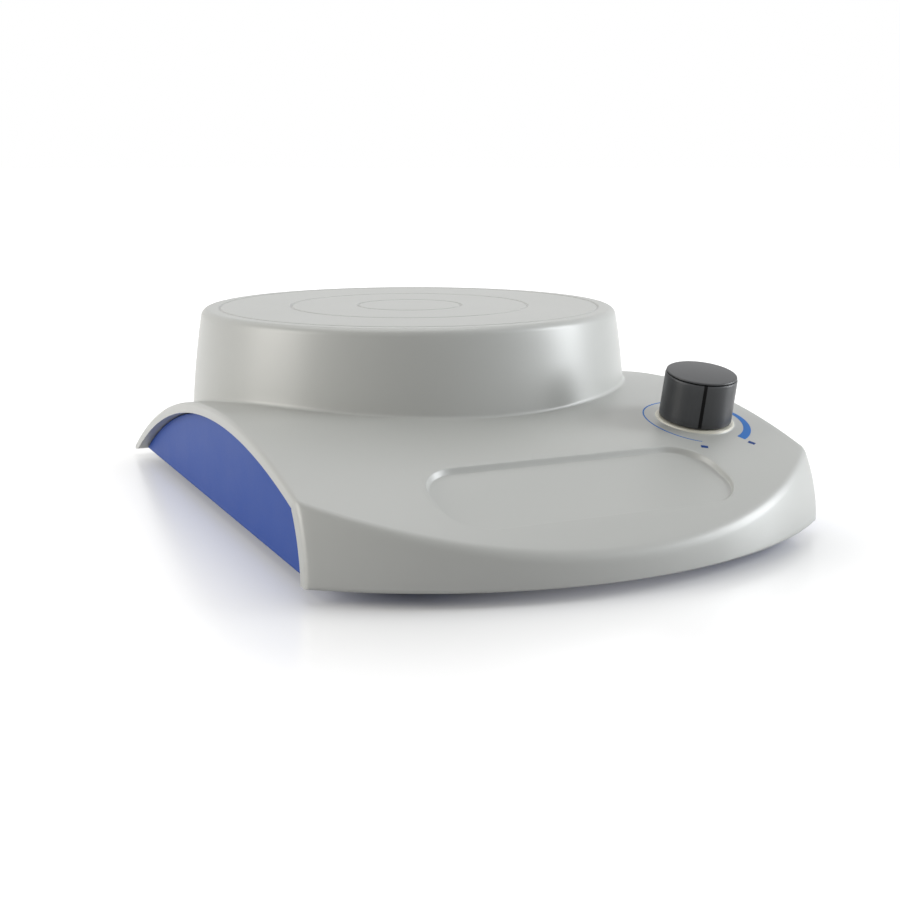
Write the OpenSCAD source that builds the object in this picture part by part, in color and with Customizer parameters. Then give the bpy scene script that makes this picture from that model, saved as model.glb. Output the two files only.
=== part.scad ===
// Compact magnetic stirrer: a round stirring plate on a low saddle-shaped case.
// The case is a light plastic cover over a blue base tray. A small motor turns a
// carrier with two magnets just under the plate, and a knob at the front sets the speed.
// Millimetres, +Z up, front towards -Y, origin on the bench under the middle of the case.

/* [Case] */
// Width of the case across its flat sides
case_w = 145; // [141:1:155]
// Length of the case from its front edge to its rear edge
case_l = 205; // [202:1:212]
// Height of the case's lower edge above the bench
case_gap = 3.4; // [2.8:0.2:5]
// Height of the crown's highest line above the bench
crown_h = 32.6; // [31:0.2:35]
// Place of the crown's highest line from the rear edge, as a share of the case's length
crown_share = 0.5307; // [0.5127:0.001:0.5457]
// Wall of the cover
cover_wall = 3; // [2.4:0.1:3.6]
// Radius of the front edge seen from above
front_r = 116.8; // [112:0.2:125]
// Radius of the front skirt seen from the side
skirt_r = 40; // [34:1:50]

/* [Stirring plate] */
// Distance from the rear edge to the plate's axis
plate_back = 70.8; // [70:0.1:74]
// Height of the plate's top above the bench
plate_h = 54.8; // [54:0.2:60]
// Radius of the round housing at the case's lower edge
drum_r = 68; // [66:0.1:69]
// Radius of the housing's slightly bowed side seen from the side
drum_bow_r = 300; // [250:10:400]
// Radius of the rounded rim
rim_r = 2.5; // [1.5:0.1:4]
// Thickness of the top
plate_t = 3; // [2.4:0.1:3.4]
// Radius of the inner engraved ring
ring_1_r = 16.1; // [12:0.1:20]
// Radius of the middle engraved ring
ring_2_r = 36.6; // [30:0.1:45]
// Radius of the outer engraved ring
ring_3_r = 58.3; // [50:0.1:60]
// Width of an engraved ring
ring_w = 0.8; // [0.4:0.1:1.4]
// Depth of an engraved ring
ring_d = 0.3; // [0.1:0.05:0.6]

/* [Label recess] */
// Length of the recess across the case
label_l = 81.5; // [60:0.5:88]
// Width of the recess from front to rear
label_w = 26.4; // [20:0.2:27]
// Corner radius of the recess
label_r = 11; // [6:0.5:12]
// Distance from the front edge to the recess
label_front = 12.8; // [12:0.2:15]
// Sideways place of the recess's middle
label_x = 0.25; // [-3:0.25:2]
// Depth at the recess's rear edge, running out to nothing at its front edge
label_d = 1.4; // [0.8:0.1:1.6]

/* [Base tray] */
// Thickness of the floor
floor_t = 2.5; // [2.2:0.1:3]
// Thickness of the side cheeks
cheek_t = 2.2; // [1.6:0.1:3]
// Distance of the cheeks in from the cover's side edges
cheek_inset = 3; // [2:0.1:5]
// Clearance all round between tray and cover
tray_fit = 0.3; // [0.15:0.05:0.5]

/* [Feet] */
// Radius of a rubber foot
foot_r = 7; // [5.5:0.1:8]
// Radius of the stem that holds a foot in the floor
stem_r = 2.5; // [2:0.1:3]
// Distance from the case's side to the feet
foot_side = 16.5; // [15.5:0.5:22.5]
// Distance from the front edge to the front feet
foot_front = 50; // [46:1:56]
// Distance from the rear edge to the rear feet
foot_rear = 34; // [32:1:40]

/* [Case screws] */
// Radius of a case screw's thread
screw_r = 1.5; // [1.25:0.05:1.75]
// Radius of a case screw's head
screw_head_r = 2.8; // [2.5:0.1:3.2]
// Height of a case screw's head
screw_head_h = 1.2; // [1:0.1:1.5]
// Radius of the cover's screw posts
post_r = 4; // [3.2:0.1:4.5]
// Distance from the case's side to the front screws
screw_front_side = 20.5; // [18.5:0.5:24.5]
// Distance from the front edge to the front screws
screw_front = 30; // [28:0.5:31]
// Distance from the case's side to the rear screws
screw_rear_side = 12.5; // [11.5:0.5:13.5]
// Distance from the rear edge to the rear screws
screw_rear = 18; // [17:0.5:19]

/* [Speed knob] */
// Distance from the case's side to the knob's axis
knob_side = 21.1; // [19.5:0.2:23.5]
// Distance from the front edge to the knob
knob_front = 53.3; // [52:0.1:56]
// Radius of the knob at its foot
knob_r = 10; // [9.5:0.1:11]
// Radius of the knob at its top
knob_top_r = 9.9; // [8.5:0.1:9.9]
// Height of the knob's side
knob_h = 12.4; // [11.5:0.1:16]
// Height of the knob's cap above its side
cap_h = 1.1; // [0.8:0.1:1.6]
// Gap of the seam between the knob's side and its cap
cap_seam = 0.3; // [0.2:0.05:0.5]
// Height of the light ring under the knob above the case
boss_h = 0.4; // [0.4:0.1:1]
// Radius of that ring
boss_r = 10.8; // [10.2:0.1:12]
// Gap between the ring and the knob
knob_gap = 0.3; // [0.3:0.05:0.8]
// Width of the knob's pointer line
pointer_w = 0.9; // [0.6:0.1:1.4]
// Turn of the pointer from the front to the lowest setting
pointer_angle = 27; // [20:1:40]

/* [Potentiometer] */
// Radius of the potentiometer's can
pot_r = 8.5; // [7.5:0.1:9]
// Height of the potentiometer's can
pot_h = 8; // [6:0.2:9]
// Radius of its threaded bush
bush_r = 3.5; // [3.4:0.05:4]
// Length of its threaded bush
bush_l = 8.2; // [7.9:0.1:8.8]
// Radius of its shaft
shaft_r = 3; // [2.8:0.05:3]

/* [Motor] */
// Radius of the motor's can
motor_r = 18; // [16:0.2:19]
// Gap between the motor and the tray's floor
motor_gap = 1.6; // [1:0.2:3.6]
// Wall of the motor's can
motor_wall = 1.2; // [1:0.1:1.6]
// Thickness of the end cap
cap_t = 3; // [2.6:0.1:3.6]
// Radius of the motor's shaft
spindle_r = 2; // [1.5:0.05:2.2]
// Radius of the shaft's bearing bushes
bearing_r = 5; // [4:0.1:5.5]
// Radius of the armature
armature_r = 11.5; // [10:0.1:12]
// Thickness of the steel bracket over the motor
bracket_t = 2; // [1.5:0.1:2.2]
// Distance of the bracket's posts from the axis, sideways
bracket_x = 32; // [31:0.5:34]
// Distance of the bracket's posts from the axis, front to rear
bracket_y = 14; // [12:0.5:16]

/* [Magnet carrier] */
// Radius of the carrier
carrier_r = 33; // [31:0.5:40]
// Thickness of the magnets and their cage
magnet_t = 8; // [6:0.2:8.4]
// Radius of each magnet
magnet_r = 10; // [8:0.2:11]
// Distance of each magnet from the axis
magnet_x = 20; // [17:0.5:21]
// Gap between the carrier and the plate
carrier_gap = 1.8; // [1.4:0.1:2.4]
// Thickness of the steel yoke
yoke_t = 2.5; // [2:0.1:2.8]
// Radius of the hub
hub_r = 8; // [6.5:0.1:9]
// Length of the hub
hub_l = 6; // [5.6:0.1:6.3]

/* [Control board] */
// Length of the board across the case
board_l = 70; // [66:1:74]
// Width of the board
board_w = 30; // [28:1:32]
// Thickness of the board
board_t = 1.6; // [1:0.1:2]
// Height of the board's posts
board_post_h = 4; // [3.6:0.1:5]
// Sideways place of the board's middle
board_x = -17; // [-20:1:-15]
// Distance from the front edge to the board's middle
board_front = 54; // [53:0.5:56]

/* [Power inlet] */
// Height of the inlet's axis above the bench
inlet_h = 18; // [17:0.5:22]
// Radius of the inlet's threaded barrel
inlet_r = 4; // [3.8:0.1:4.5]
// Radius of the hole for the plug
plug_r = 2.75; // [2.7:0.05:3]
// Radius of the centre pin
pin_r = 1.05; // [0.8:0.05:1.25]
// Length of the barrel
inlet_l = 11.4; // [10:0.2:13]
// Radius of the inlet's flange
flange_r = 6; // [5.4:0.1:6.6]

/* [Hidden] */
$fn = 96;

past = 1;            // how far a cutting shape runs past the face it cuts
thread_fit = 0.02;   // radial gap of a screw in its thread
run_fit = 0.04;      // radial gap of a shaft that turns in a bush
slip_fit = 0.1;      // radial gap of a screw or bush in a plain hole

// case
front_y = -case_l / 2;
rear_y = case_l / 2;
plate_y = rear_y - plate_back;
front_axis_y = front_y + front_r;
crown_back = case_l * crown_share;
crown_y = rear_y - crown_back;
crown_rise = crown_h - case_gap;
crown_r = (crown_back * crown_back + crown_rise * crown_rise) / (2 * crown_rise);
function crown_z(y) = crown_h - crown_r + sqrt(crown_r * crown_r - (y - crown_y) * (y - crown_y));
floor_top = case_gap + floor_t;
cheek_x = case_w / 2 - cheek_inset;

// label recess
label_front_y = front_y + label_front;
label_fall = crown_z(label_front_y + label_w) - label_d - crown_z(label_front_y);
label_tilt = atan(label_fall / label_w);

// screws and feet
screw_front_x = case_w / 2 - screw_front_side;
screw_rear_x = case_w / 2 - screw_rear_side;
foot_x = case_w / 2 - foot_side;
screw_places = [
    [-screw_front_x, front_y + screw_front], [screw_front_x, front_y + screw_front],
    [-screw_rear_x, rear_y - screw_rear], [screw_rear_x, rear_y - screw_rear]
];
foot_places = [
    [-foot_x, front_y + foot_front], [foot_x, front_y + foot_front],
    [-foot_x, rear_y - foot_rear], [foot_x, rear_y - foot_rear]
];
thread_skin = 1.2;   // plastic left between a screw's hole and the outside of the cover
small_screw_r = 1.25;
small_head_r = 2.3;
small_head_h = 1.5;
socket_share = 0.5;  // across corners of a screw's socket, as a share of its head
foot_barb = 0.6;     // how far a foot's barb stands out from its stem
barb_h = 1;

// knob and potentiometer, along the knob's own axis from the case's surface
knob_x = case_w / 2 - knob_side;
knob_y = front_y + knob_front;
knob_z = crown_z(knob_y);
knob_tilt = asin((crown_y - knob_y) / crown_r);
function knob_point(p) = [
    knob_x + p[0],
    knob_y + p[1] * cos(knob_tilt) - p[2] * sin(knob_tilt),
    knob_z + p[1] * sin(knob_tilt) + p[2] * cos(knob_tilt)
];
pot_seat = -cover_wall - 0.8;
pot_pad_r = pot_r + 1.5;
knob_foot = boss_h + knob_gap;
washer_r = 6;
washer_t = 0.5;
nut_r = 5.6;
nut_t = 2;
knob_hollow_r = 7.6;
knob_hollow_h = pot_seat + bush_l - knob_foot + 0.6;
cap_plug_r = 8;
cap_plug_l = 1.5;
knob_bore_h = knob_h - cap_plug_l - 0.8;
cap_inset = 0.2;     // how far the cap's edge stands in from the knob's side
pointer_d = 0.5;
pot_pins = [-4, 0, 4];
pot_pin_w = 1.2;
pot_pin_t = 0.5;
pot_pin_l = 5;
pot_pin_z = pot_seat - pot_h / 2;

// motor and carrier, from the plate downwards
ceiling = plate_h - plate_t;
cage_top = ceiling - carrier_gap;
cage_foot = cage_top - magnet_t;
yoke_foot = cage_foot - yoke_t;
hub_foot = yoke_foot - hub_l;
bracket_top = hub_foot - 1;
motor_face = bracket_top - bracket_t;
motor_l = motor_face - floor_top - motor_gap;
motor_foot = motor_face - motor_l;
can_foot = motor_foot + cap_t;
bearing_l = 4;
bearing_proud = bracket_t * 0.75;
field_t = 4;
field_inner_r = motor_r - motor_wall - field_t;
field_end_gap = 1;
field_slot = 6;
armature_end_gap = 1.5;
armature_l = motor_l - cap_t - motor_wall - bearing_l - 2 * armature_end_gap;
armature_foot = can_foot + armature_end_gap;
motor_screw_x = 11;
bracket_half_l = bracket_x + 6;
bracket_half_w = bracket_y + 6;
bracket_post_r = 4;
bracket_screw_l = 8;
cage_screw_bite = 5; // how far a cage screw's thread goes into the cage
terminal_x = 4;
terminal_w = 2.4;
terminal_t = 0.8;
terminal_out = 4;
terminal_z = motor_foot + cap_t / 2;
cage_screw_y = 20;
spindle_top = cage_top - 3;
spindle_foot = motor_foot + 0.4;

// board
board_y = front_y + board_front;
board_z = floor_top + board_post_h;
board_top = board_z + board_t;
board_hole_in = 4;
board_holes = [for (sx = [-1, 1], sy = [-1, 1])
    [board_x + sx * (board_l / 2 - board_hole_in), board_y + sy * (board_w / 2 - board_hole_in)]];
board_post_r = 2.8;
connector = [8, 5, 7];
connector_rear_y = board_y + board_w / 2;
motor_connector_x = board_x + 18;
inlet_connector_x = board_x - 12;
dial_connector_x = board_x + board_l / 2;
dial_connector_y = board_y;
lead_entry_z = board_top + 3.5;

// inlet, along its own axis from the plate's axis
inlet_seat = drum_r - 1.6;
inlet_pad_in = inlet_seat - cover_wall;
inlet_pocket_r = flange_r + 1.5;
flange_t = 1.2;
inlet_foot = inlet_seat - inlet_l;
plug_depth = 9.6;
inlet_nut_t = 2;
inlet_nut_r = 6;
inlet_tab = [2.4, 1.2, 3];
inlet_tab_drop = 2.6;
inlet_pin_out = 2;

// leads
lead_r = 0.7;
lead_sides = 8;
lead_steps = 4;      // rings between two points of a route
lead_apart = 1.2;    // half the distance between the two leads of a pair
lead_end = 3;        // straight length of a lead at each end
lead_bend = 10;      // length over which a lead comes up to its connector
lead_run_z = floor_top + 4.1;
lead_run_x = motor_r + 5;

module at_plate() {
    translate([0, plate_y, 0]) children();
}

module at_knob() {
    translate([knob_x, knob_y, knob_z]) rotate([knob_tilt, 0, 0]) children();
}

module at_inlet() {
    translate([0, plate_y, inlet_h]) rotate([-90, 0, 0]) children();
}

module rounded_plate(l, w, r) {
    for (sx = [-1, 1], sy = [-1, 1])
        translate([sx * (l / 2 - r), sy * (w / 2 - r)]) circle(r);
    square([l, w - 2 * r], center = true);
    square([l - 2 * r, w], center = true);
}

module tube(outer_r, inner_r, h) {
    difference() {
        cylinder(r = outer_r, h = h);
        translate([0, 0, -past]) cylinder(r = inner_r, h = h + 2 * past);
    }
}

// The case's solid shape, `inset` in from its outside and `width` wide:
// a crown that runs straight across, cut by a round skirt in front of the skirt's axis.
module case_shape(inset, width) {
    intersection() {
        rotate([90, 0, 90]) translate([0, 0, -width / 2]) linear_extrude(width)
            intersection() {
                translate([crown_y, crown_h - crown_r]) circle(crown_r - inset);
                translate([front_y - past, case_gap]) square([case_l + 2 * past, crown_h]);
            }
        union() {
            translate([0, front_axis_y, 0]) rotate_extrude()
                intersection() {
                    union() {
                        translate([front_r - skirt_r, case_gap]) circle(skirt_r - inset);
                        translate([0, case_gap]) square([front_r - skirt_r, skirt_r]);
                    }
                    translate([0, case_gap]) square([front_r, crown_h]);
                }
            translate([-width / 2 - past, front_axis_y, case_gap]) cube([width + 2 * past, case_l, crown_h]);
        }
    }
}

// The round housing's solid shape, `inset` in from its side, up to the height `top`.
module drum_shape(inset, top, rim) {
    bow = drum_bow_r - inset;
    bow_x = drum_r - drum_bow_r;
    rim_z = top - rim;
    rim_x = bow_x + sqrt((bow - rim) * (bow - rim) - (rim_z - case_gap) * (rim_z - case_gap));
    side_top = case_gap + (rim_z - case_gap) * bow / (bow - rim);
    rotate_extrude() {
        intersection() {
            translate([bow_x, case_gap]) circle(bow);
            translate([0, case_gap]) square([drum_r, side_top - case_gap]);
        }
        intersection() {
            translate([rim_x, rim_z]) circle(rim);
            square([drum_r, top]);
        }
        translate([0, case_gap]) square([rim_x, top - case_gap]);
    }
}

module engraved_ring(r) {
    translate([0, 0, plate_h - ring_d]) tube(r + ring_w / 2, r - ring_w / 2, ring_d + past);
}

module label_cut() {
    translate([label_x, label_front_y, crown_z(label_front_y)]) rotate([label_tilt, 0, 0])
        translate([0, label_w / 2, 0]) linear_extrude(label_d * 4)
            rounded_plate(label_l, label_w, label_r);
}

// A post under the crown for one case screw.
module cover_post(place) {
    intersection() {
        translate([place[0], place[1], floor_top]) cylinder(r = post_r, h = crown_h);
        case_shape(cover_wall / 2, case_w);
    }
}

function screw_tip(place) =
    crown_z(place[1] + (place[1] > crown_y ? post_r : 0)) - thread_skin - cover_wall / 2;

module cover_post_hole(place) {
    translate([place[0], place[1], case_gap])
        cylinder(r = screw_r + thread_fit, h = screw_tip(place) - case_gap);
}

module top_cover() {
    color([0.80, 0.81, 0.79]) difference() {
        union() {
            difference() {
                union() {
                    case_shape(0, case_w);
                    at_plate() drum_shape(0, plate_h, rim_r);
                }
                case_shape(cover_wall, case_w + 2 * past);
                at_plate() drum_shape(cover_wall, ceiling, 0.5);
            }
            for (place = screw_places) cover_post(place);
            at_knob() translate([0, 0, pot_seat]) cylinder(r = pot_pad_r, h = -pot_seat);
            at_knob() translate([0, 0, -cover_wall / 2]) cylinder(r = boss_r, h = boss_h + cover_wall / 2);
            at_inlet() translate([0, 0, inlet_pad_in]) cylinder(r = inlet_pocket_r, h = cover_wall);
        }
        label_cut();
        at_plate() for (r = [ring_1_r, ring_2_r, ring_3_r]) engraved_ring(r);
        for (place = screw_places) cover_post_hole(place);
        at_knob() translate([0, 0, pot_seat - past])
            cylinder(r = bush_r + slip_fit, h = boss_h - pot_seat + 2 * past);
        at_inlet() translate([0, 0, inlet_pad_in - past]) cylinder(r = inlet_r + slip_fit, h = case_w);
        at_inlet() translate([0, 0, inlet_seat]) cylinder(r = inlet_pocket_r, h = case_w);
    }
}

module base_tray() {
    color([0.22, 0.36, 0.66]) difference() {
        union() {
            intersection() {
                case_shape(cover_wall + tray_fit, 2 * cheek_x);
                union() {
                    translate([-cheek_x, front_y, case_gap]) cube([2 * cheek_x, case_l, floor_t]);
                    for (x = [-cheek_x, cheek_x - cheek_t])
                        translate([x, front_y, case_gap]) cube([cheek_t, case_l, crown_h]);
                }
            }
            at_plate() for (sx = [-1, 1], sy = [-1, 1])
                translate([sx * bracket_x, sy * bracket_y, floor_top])
                    cylinder(r = bracket_post_r, h = motor_face - floor_top);
            for (place = board_holes)
                translate([place[0], place[1], floor_top]) cylinder(r = board_post_r, h = board_post_h);
        }
        for (place = screw_places) translate([place[0], place[1], 0]) {
            cylinder(r = screw_r + slip_fit, h = floor_top + past);
            cylinder(r = screw_head_r + 2 * slip_fit, h = case_gap + screw_head_h);
        }
        for (place = foot_places) translate([place[0], place[1], 0])
            cylinder(r = stem_r, h = floor_top + past);
        at_plate() for (sx = [-1, 1], sy = [-1, 1])
            translate([sx * bracket_x, sy * bracket_y, floor_top])
                cylinder(r = screw_r + thread_fit, h = motor_face);
        for (place = board_holes)
            translate([place[0], place[1], floor_top + 0.5])
                cylinder(r = small_screw_r + thread_fit, h = board_post_h);
    }
}

module rubber_feet() {
    color([0.13, 0.13, 0.14]) for (place = foot_places) translate([place[0], place[1], 0]) {
        chamfer = 0.6;
        cylinder(r1 = foot_r - chamfer, r2 = foot_r, h = chamfer);
        translate([0, 0, chamfer]) cylinder(r = foot_r, h = case_gap - chamfer);
        cylinder(r = stem_r, h = floor_top + barb_h);
        translate([0, 0, floor_top]) cylinder(r1 = stem_r + foot_barb, r2 = stem_r, h = barb_h);
    }
}

// A round-headed screw with its head's foot at z = 0 and its thread pointing down.
module screw(r, l, head_r, head_h) {
    difference() {
        union() {
            translate([0, 0, -l]) cylinder(r = r, h = l);
            cylinder(r = head_r, h = head_h);
        }
        translate([0, 0, head_h * 0.4]) cylinder(r = head_r * socket_share, h = head_h, $fn = 6);
    }
}

module case_screws() {
    color([0.55, 0.56, 0.58]) for (place = screw_places)
        translate([place[0], place[1], case_gap + screw_head_h]) mirror([0, 0, 1])
            screw(screw_r, screw_tip(place) - case_gap - screw_head_h - 0.3,
                screw_head_r, screw_head_h - 0.1);
}

module motor_can() {
    color([0.72, 0.73, 0.74]) at_plate() difference() {
        translate([0, 0, can_foot]) cylinder(r = motor_r, h = motor_face - can_foot);
        translate([0, 0, can_foot - past])
            cylinder(r = motor_r - motor_wall, h = motor_face - motor_wall - can_foot + past);
        cylinder(r = bearing_r, h = motor_face + past);
        for (sx = [-1, 1]) translate([sx * motor_screw_x, 0, motor_face - motor_wall - past])
            cylinder(r = small_screw_r + thread_fit, h = motor_wall + 2 * past);
    }
}

module terminal_bars() {
    at_plate() for (sx = [-1, 1])
        translate([sx * terminal_x - terminal_w / 2, -motor_r - terminal_out, terminal_z - terminal_t / 2])
            cube([terminal_w, terminal_out + motor_r / 3, terminal_t]);
}

module motor_end_cap() {
    color([0.16, 0.16, 0.17]) difference() {
        at_plate() difference() {
            translate([0, 0, motor_foot]) cylinder(r = motor_r, h = cap_t);
            translate([0, 0, motor_foot + cap_t - bearing_l / 2]) cylinder(r = bearing_r, h = bearing_l);
            translate([0, 0, spindle_foot]) cylinder(r = spindle_r + run_fit, h = cap_t);
        }
        terminal_bars();
    }
}

module motor_terminals() {
    color([0.80, 0.66, 0.36]) terminal_bars();
}

module field_magnets() {
    l = motor_face - motor_wall - can_foot - 2 * field_end_gap;
    color([0.25, 0.25, 0.27]) at_plate() difference() {
        translate([0, 0, can_foot + field_end_gap]) tube(motor_r - motor_wall, field_inner_r, l);
        translate([-field_slot / 2, -motor_r, can_foot]) cube([field_slot, 2 * motor_r, motor_l]);
    }
}

module motor_bushes() {
    color([0.70, 0.55, 0.34]) at_plate() {
        translate([0, 0, motor_face + bearing_proud - bearing_l])
            tube(bearing_r, spindle_r + run_fit, bearing_l);
        translate([0, 0, motor_foot + cap_t - bearing_l / 2])
            tube(bearing_r, spindle_r + run_fit, bearing_l / 2 + armature_end_gap / 2);
    }
}

module armature() {
    color([0.60, 0.38, 0.22]) at_plate() translate([0, 0, armature_foot]) difference() {
        cylinder(r = armature_r, h = armature_l);
        translate([0, 0, -past]) cylinder(r = spindle_r, h = armature_l + 2 * past);
        for (a = [0 : 60 : 300]) rotate(a)
            translate([armature_r * 0.7, -0.8, -past]) cube([armature_r, 1.6, armature_l + 2 * past]);
    }
}

module motor_shaft() {
    color([0.78, 0.79, 0.80]) at_plate() translate([0, 0, spindle_foot])
        cylinder(r = spindle_r, h = spindle_top - spindle_foot);
}

module motor_bracket() {
    color([0.66, 0.67, 0.69]) at_plate() translate([0, 0, motor_face]) linear_extrude(bracket_t)
        difference() {
            rounded_plate(2 * bracket_half_l, 2 * bracket_half_w, 6);
            circle(bearing_r + slip_fit);
            for (sx = [-1, 1]) translate([sx * motor_screw_x, 0]) circle(small_screw_r + slip_fit);
            for (sx = [-1, 1], sy = [-1, 1])
                translate([sx * bracket_x, sy * bracket_y]) circle(screw_r + slip_fit);
        }
}

module motor_screws() {
    color([0.55, 0.56, 0.58]) at_plate() for (sx = [-1, 1])
        translate([sx * motor_screw_x, 0, bracket_top])
            screw(small_screw_r, bracket_t + motor_wall - 0.1, small_head_r, small_head_h);
}

module bracket_screws() {
    color([0.55, 0.56, 0.58]) at_plate() for (sx = [-1, 1], sy = [-1, 1])
        translate([sx * bracket_x, sy * bracket_y, bracket_top])
            screw(screw_r, bracket_screw_l, screw_head_r, small_head_h);
}

grub_r = 1.5;
module rotor_hub() {
    color([0.75, 0.76, 0.77]) at_plate() difference() {
        union() {
            translate([0, 0, hub_foot]) cylinder(r = hub_r, h = hub_l);
            translate([0, 0, yoke_foot]) cylinder(r = bearing_r, h = yoke_t);
        }
        translate([0, 0, hub_foot - past])
            cylinder(r = spindle_r + thread_fit, h = hub_l + yoke_t + 2 * past);
        translate([0, 0, hub_foot + hub_l / 2]) rotate([0, 90, 0])
            cylinder(r = grub_r + thread_fit, h = hub_r + past);
    }
}

module grub_screw() {
    grub_l = hub_r - spindle_r - 0.5;
    color([0.30, 0.30, 0.32]) at_plate() translate([0, 0, hub_foot + hub_l / 2]) rotate([0, 90, 0])
        difference() {
            translate([0, 0, spindle_r + 0.1]) cylinder(r = grub_r, h = grub_l);
            translate([0, 0, spindle_r + grub_l - 1.5]) cylinder(r = grub_r * socket_share, h = 2, $fn = 6);
        }
}

module magnet_yoke() {
    color([0.62, 0.63, 0.65]) at_plate() translate([0, 0, yoke_foot]) linear_extrude(yoke_t)
        difference() {
            circle(carrier_r - 1);
            circle(bearing_r + thread_fit);
            for (sy = [-1, 1]) translate([0, sy * cage_screw_y]) circle(small_screw_r + slip_fit);
        }
}

module magnet_cage() {
    color([0.90, 0.89, 0.85]) at_plate() difference() {
        translate([0, 0, cage_foot]) cylinder(r = carrier_r, h = magnet_t);
        for (sx = [-1, 1]) translate([sx * magnet_x, 0, cage_foot - past])
            cylinder(r = magnet_r + thread_fit, h = magnet_t + 2 * past);
        translate([0, 0, cage_foot - past])
            cylinder(r = spindle_r + slip_fit, h = spindle_top - cage_foot + past + slip_fit);
        for (sy = [-1, 1]) translate([0, sy * cage_screw_y, cage_foot - past])
            cylinder(r = small_screw_r + thread_fit, h = magnet_t - 1);
    }
}

module drive_magnets() {
    color([0.36, 0.36, 0.38]) at_plate() for (sx = [-1, 1])
        translate([sx * magnet_x, 0, cage_foot]) cylinder(r = magnet_r, h = magnet_t);
}

module cage_screws() {
    color([0.55, 0.56, 0.58]) at_plate() for (sy = [-1, 1])
        translate([0, sy * cage_screw_y, yoke_foot]) mirror([0, 0, 1])
            screw(small_screw_r, yoke_t + cage_screw_bite, small_head_r, small_head_h);
}

module control_board() {
    color([0.10, 0.36, 0.22]) difference() {
        translate([board_x - board_l / 2, board_y - board_w / 2, board_z])
            cube([board_l, board_w, board_t]);
        for (place = board_holes) translate([place[0], place[1], board_z - past])
            cylinder(r = small_screw_r + slip_fit, h = board_t + 2 * past);
    }
}

module board_screws() {
    color([0.55, 0.56, 0.58]) for (place = board_holes)
        translate([place[0], place[1], board_top])
            screw(small_screw_r, board_t + board_post_h - 1, small_head_r, small_head_h);
}

module microcontroller() {
    body = 9;
    leg = 1;
    color([0.12, 0.12, 0.13]) translate([board_x - 2, board_y - 3, board_top]) {
        translate([-body / 2, -body / 2, 0.2]) cube([body, body, 1.4]);
        for (i = [-3 : 3], s = [-1, 1]) {
            translate([s * (body + leg) / 2 - leg / 2, i * 1.2 - 0.2, 0]) cube([leg, 0.4, 0.5]);
            translate([i * 1.2 - 0.2, s * (body + leg) / 2 - leg / 2, 0]) cube([0.4, leg, 0.5]);
        }
    }
}

module smoothing_capacitor() {
    capacitor_r = 5;
    capacitor_h = 9;
    color([0.16, 0.18, 0.34]) translate([board_x - 22, board_y - 3, board_top]) {
        cylinder(r = capacitor_r, h = capacitor_h - 1);
        translate([0, 0, capacitor_h - 1]) cylinder(r1 = capacitor_r, r2 = capacitor_r - 0.8, h = 1);
    }
}

sink_x = board_x + 14;
sink_y = board_y - 8;
sink = [16, 2, 9];
module voltage_regulator() {
    color([0.14, 0.14, 0.15]) translate([sink_x, sink_y + sink[1] / 2, board_top]) {
        translate([-5, 0, 1.5]) cube([10, 3, 6]);
        for (x = [-2.5, 0, 2.5]) translate([x - 0.4, 1.1, 0]) cube([0.8, 0.6, 1.5]);
    }
}

module heat_sink() {
    color([0.30, 0.31, 0.33]) translate([sink_x, sink_y, board_top]) {
        translate([-sink[0] / 2, -sink[1] / 2, 0]) cube(sink);
        for (i = [-3 : 3]) translate([i * 2.4 - 0.5, -sink[1] / 2 - 3, 0]) cube([1, 3, sink[2]]);
    }
}

module lead_connectors() {
    color([0.93, 0.92, 0.88]) {
        for (x = [motor_connector_x, inlet_connector_x])
            translate([x - connector[0] / 2, connector_rear_y - connector[1], board_top]) cube(connector);
        translate([dial_connector_x - connector[1], dial_connector_y - connector[0] / 2 - 1, board_top])
            cube([connector[1], connector[0] + 2, connector[2]]);
    }
}

module pot_pin_bars() {
    for (y = pot_pins)
        translate([-pot_r - pot_pin_l, y - pot_pin_w / 2, pot_pin_z - pot_pin_t / 2])
            cube([pot_pin_l + pot_r / 2, pot_pin_w, pot_pin_t]);
}

module potentiometer() {
    color([0.55, 0.56, 0.58]) at_knob() difference() {
        union() {
            translate([0, 0, pot_seat - pot_h]) cylinder(r = pot_r, h = pot_h);
            translate([0, 0, pot_seat]) cylinder(r = bush_r, h = bush_l);
            pot_pin_bars();
        }
        translate([0, 0, pot_seat - pot_h / 2]) cylinder(r = shaft_r + run_fit, h = pot_h + bush_l);
    }
}

module potentiometer_shaft() {
    foot = pot_seat - pot_h / 2 + slip_fit;
    color([0.85, 0.85, 0.83]) at_knob() translate([0, 0, foot])
        cylinder(r = shaft_r, h = knob_foot + knob_bore_h - 0.8 - foot);
}

module potentiometer_washer() {
    color([0.75, 0.76, 0.77]) at_knob() translate([0, 0, boss_h])
        tube(washer_r, bush_r + slip_fit, washer_t);
}

module potentiometer_nut() {
    color([0.80, 0.70, 0.42]) at_knob() translate([0, 0, boss_h + washer_t]) difference() {
        cylinder(r = nut_r, h = nut_t, $fn = 6);
        translate([0, 0, -past]) cylinder(r = bush_r + thread_fit, h = nut_t + 2 * past);
    }
}

module pointer_bar() {
    top = knob_foot + knob_h;
    rotate(-pointer_angle) translate([-pointer_w / 2, -knob_r - past, knob_foot - past])
        cube([pointer_w, knob_r + past - knob_top_r + pointer_d, top - knob_foot + past + 0.01]);
}

// The knob's outer shape: an almost straight side with a flat top for the cap.
module knob_shape() {
    translate([0, 0, knob_foot]) cylinder(r1 = knob_r, r2 = knob_top_r, h = knob_h);
}

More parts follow.
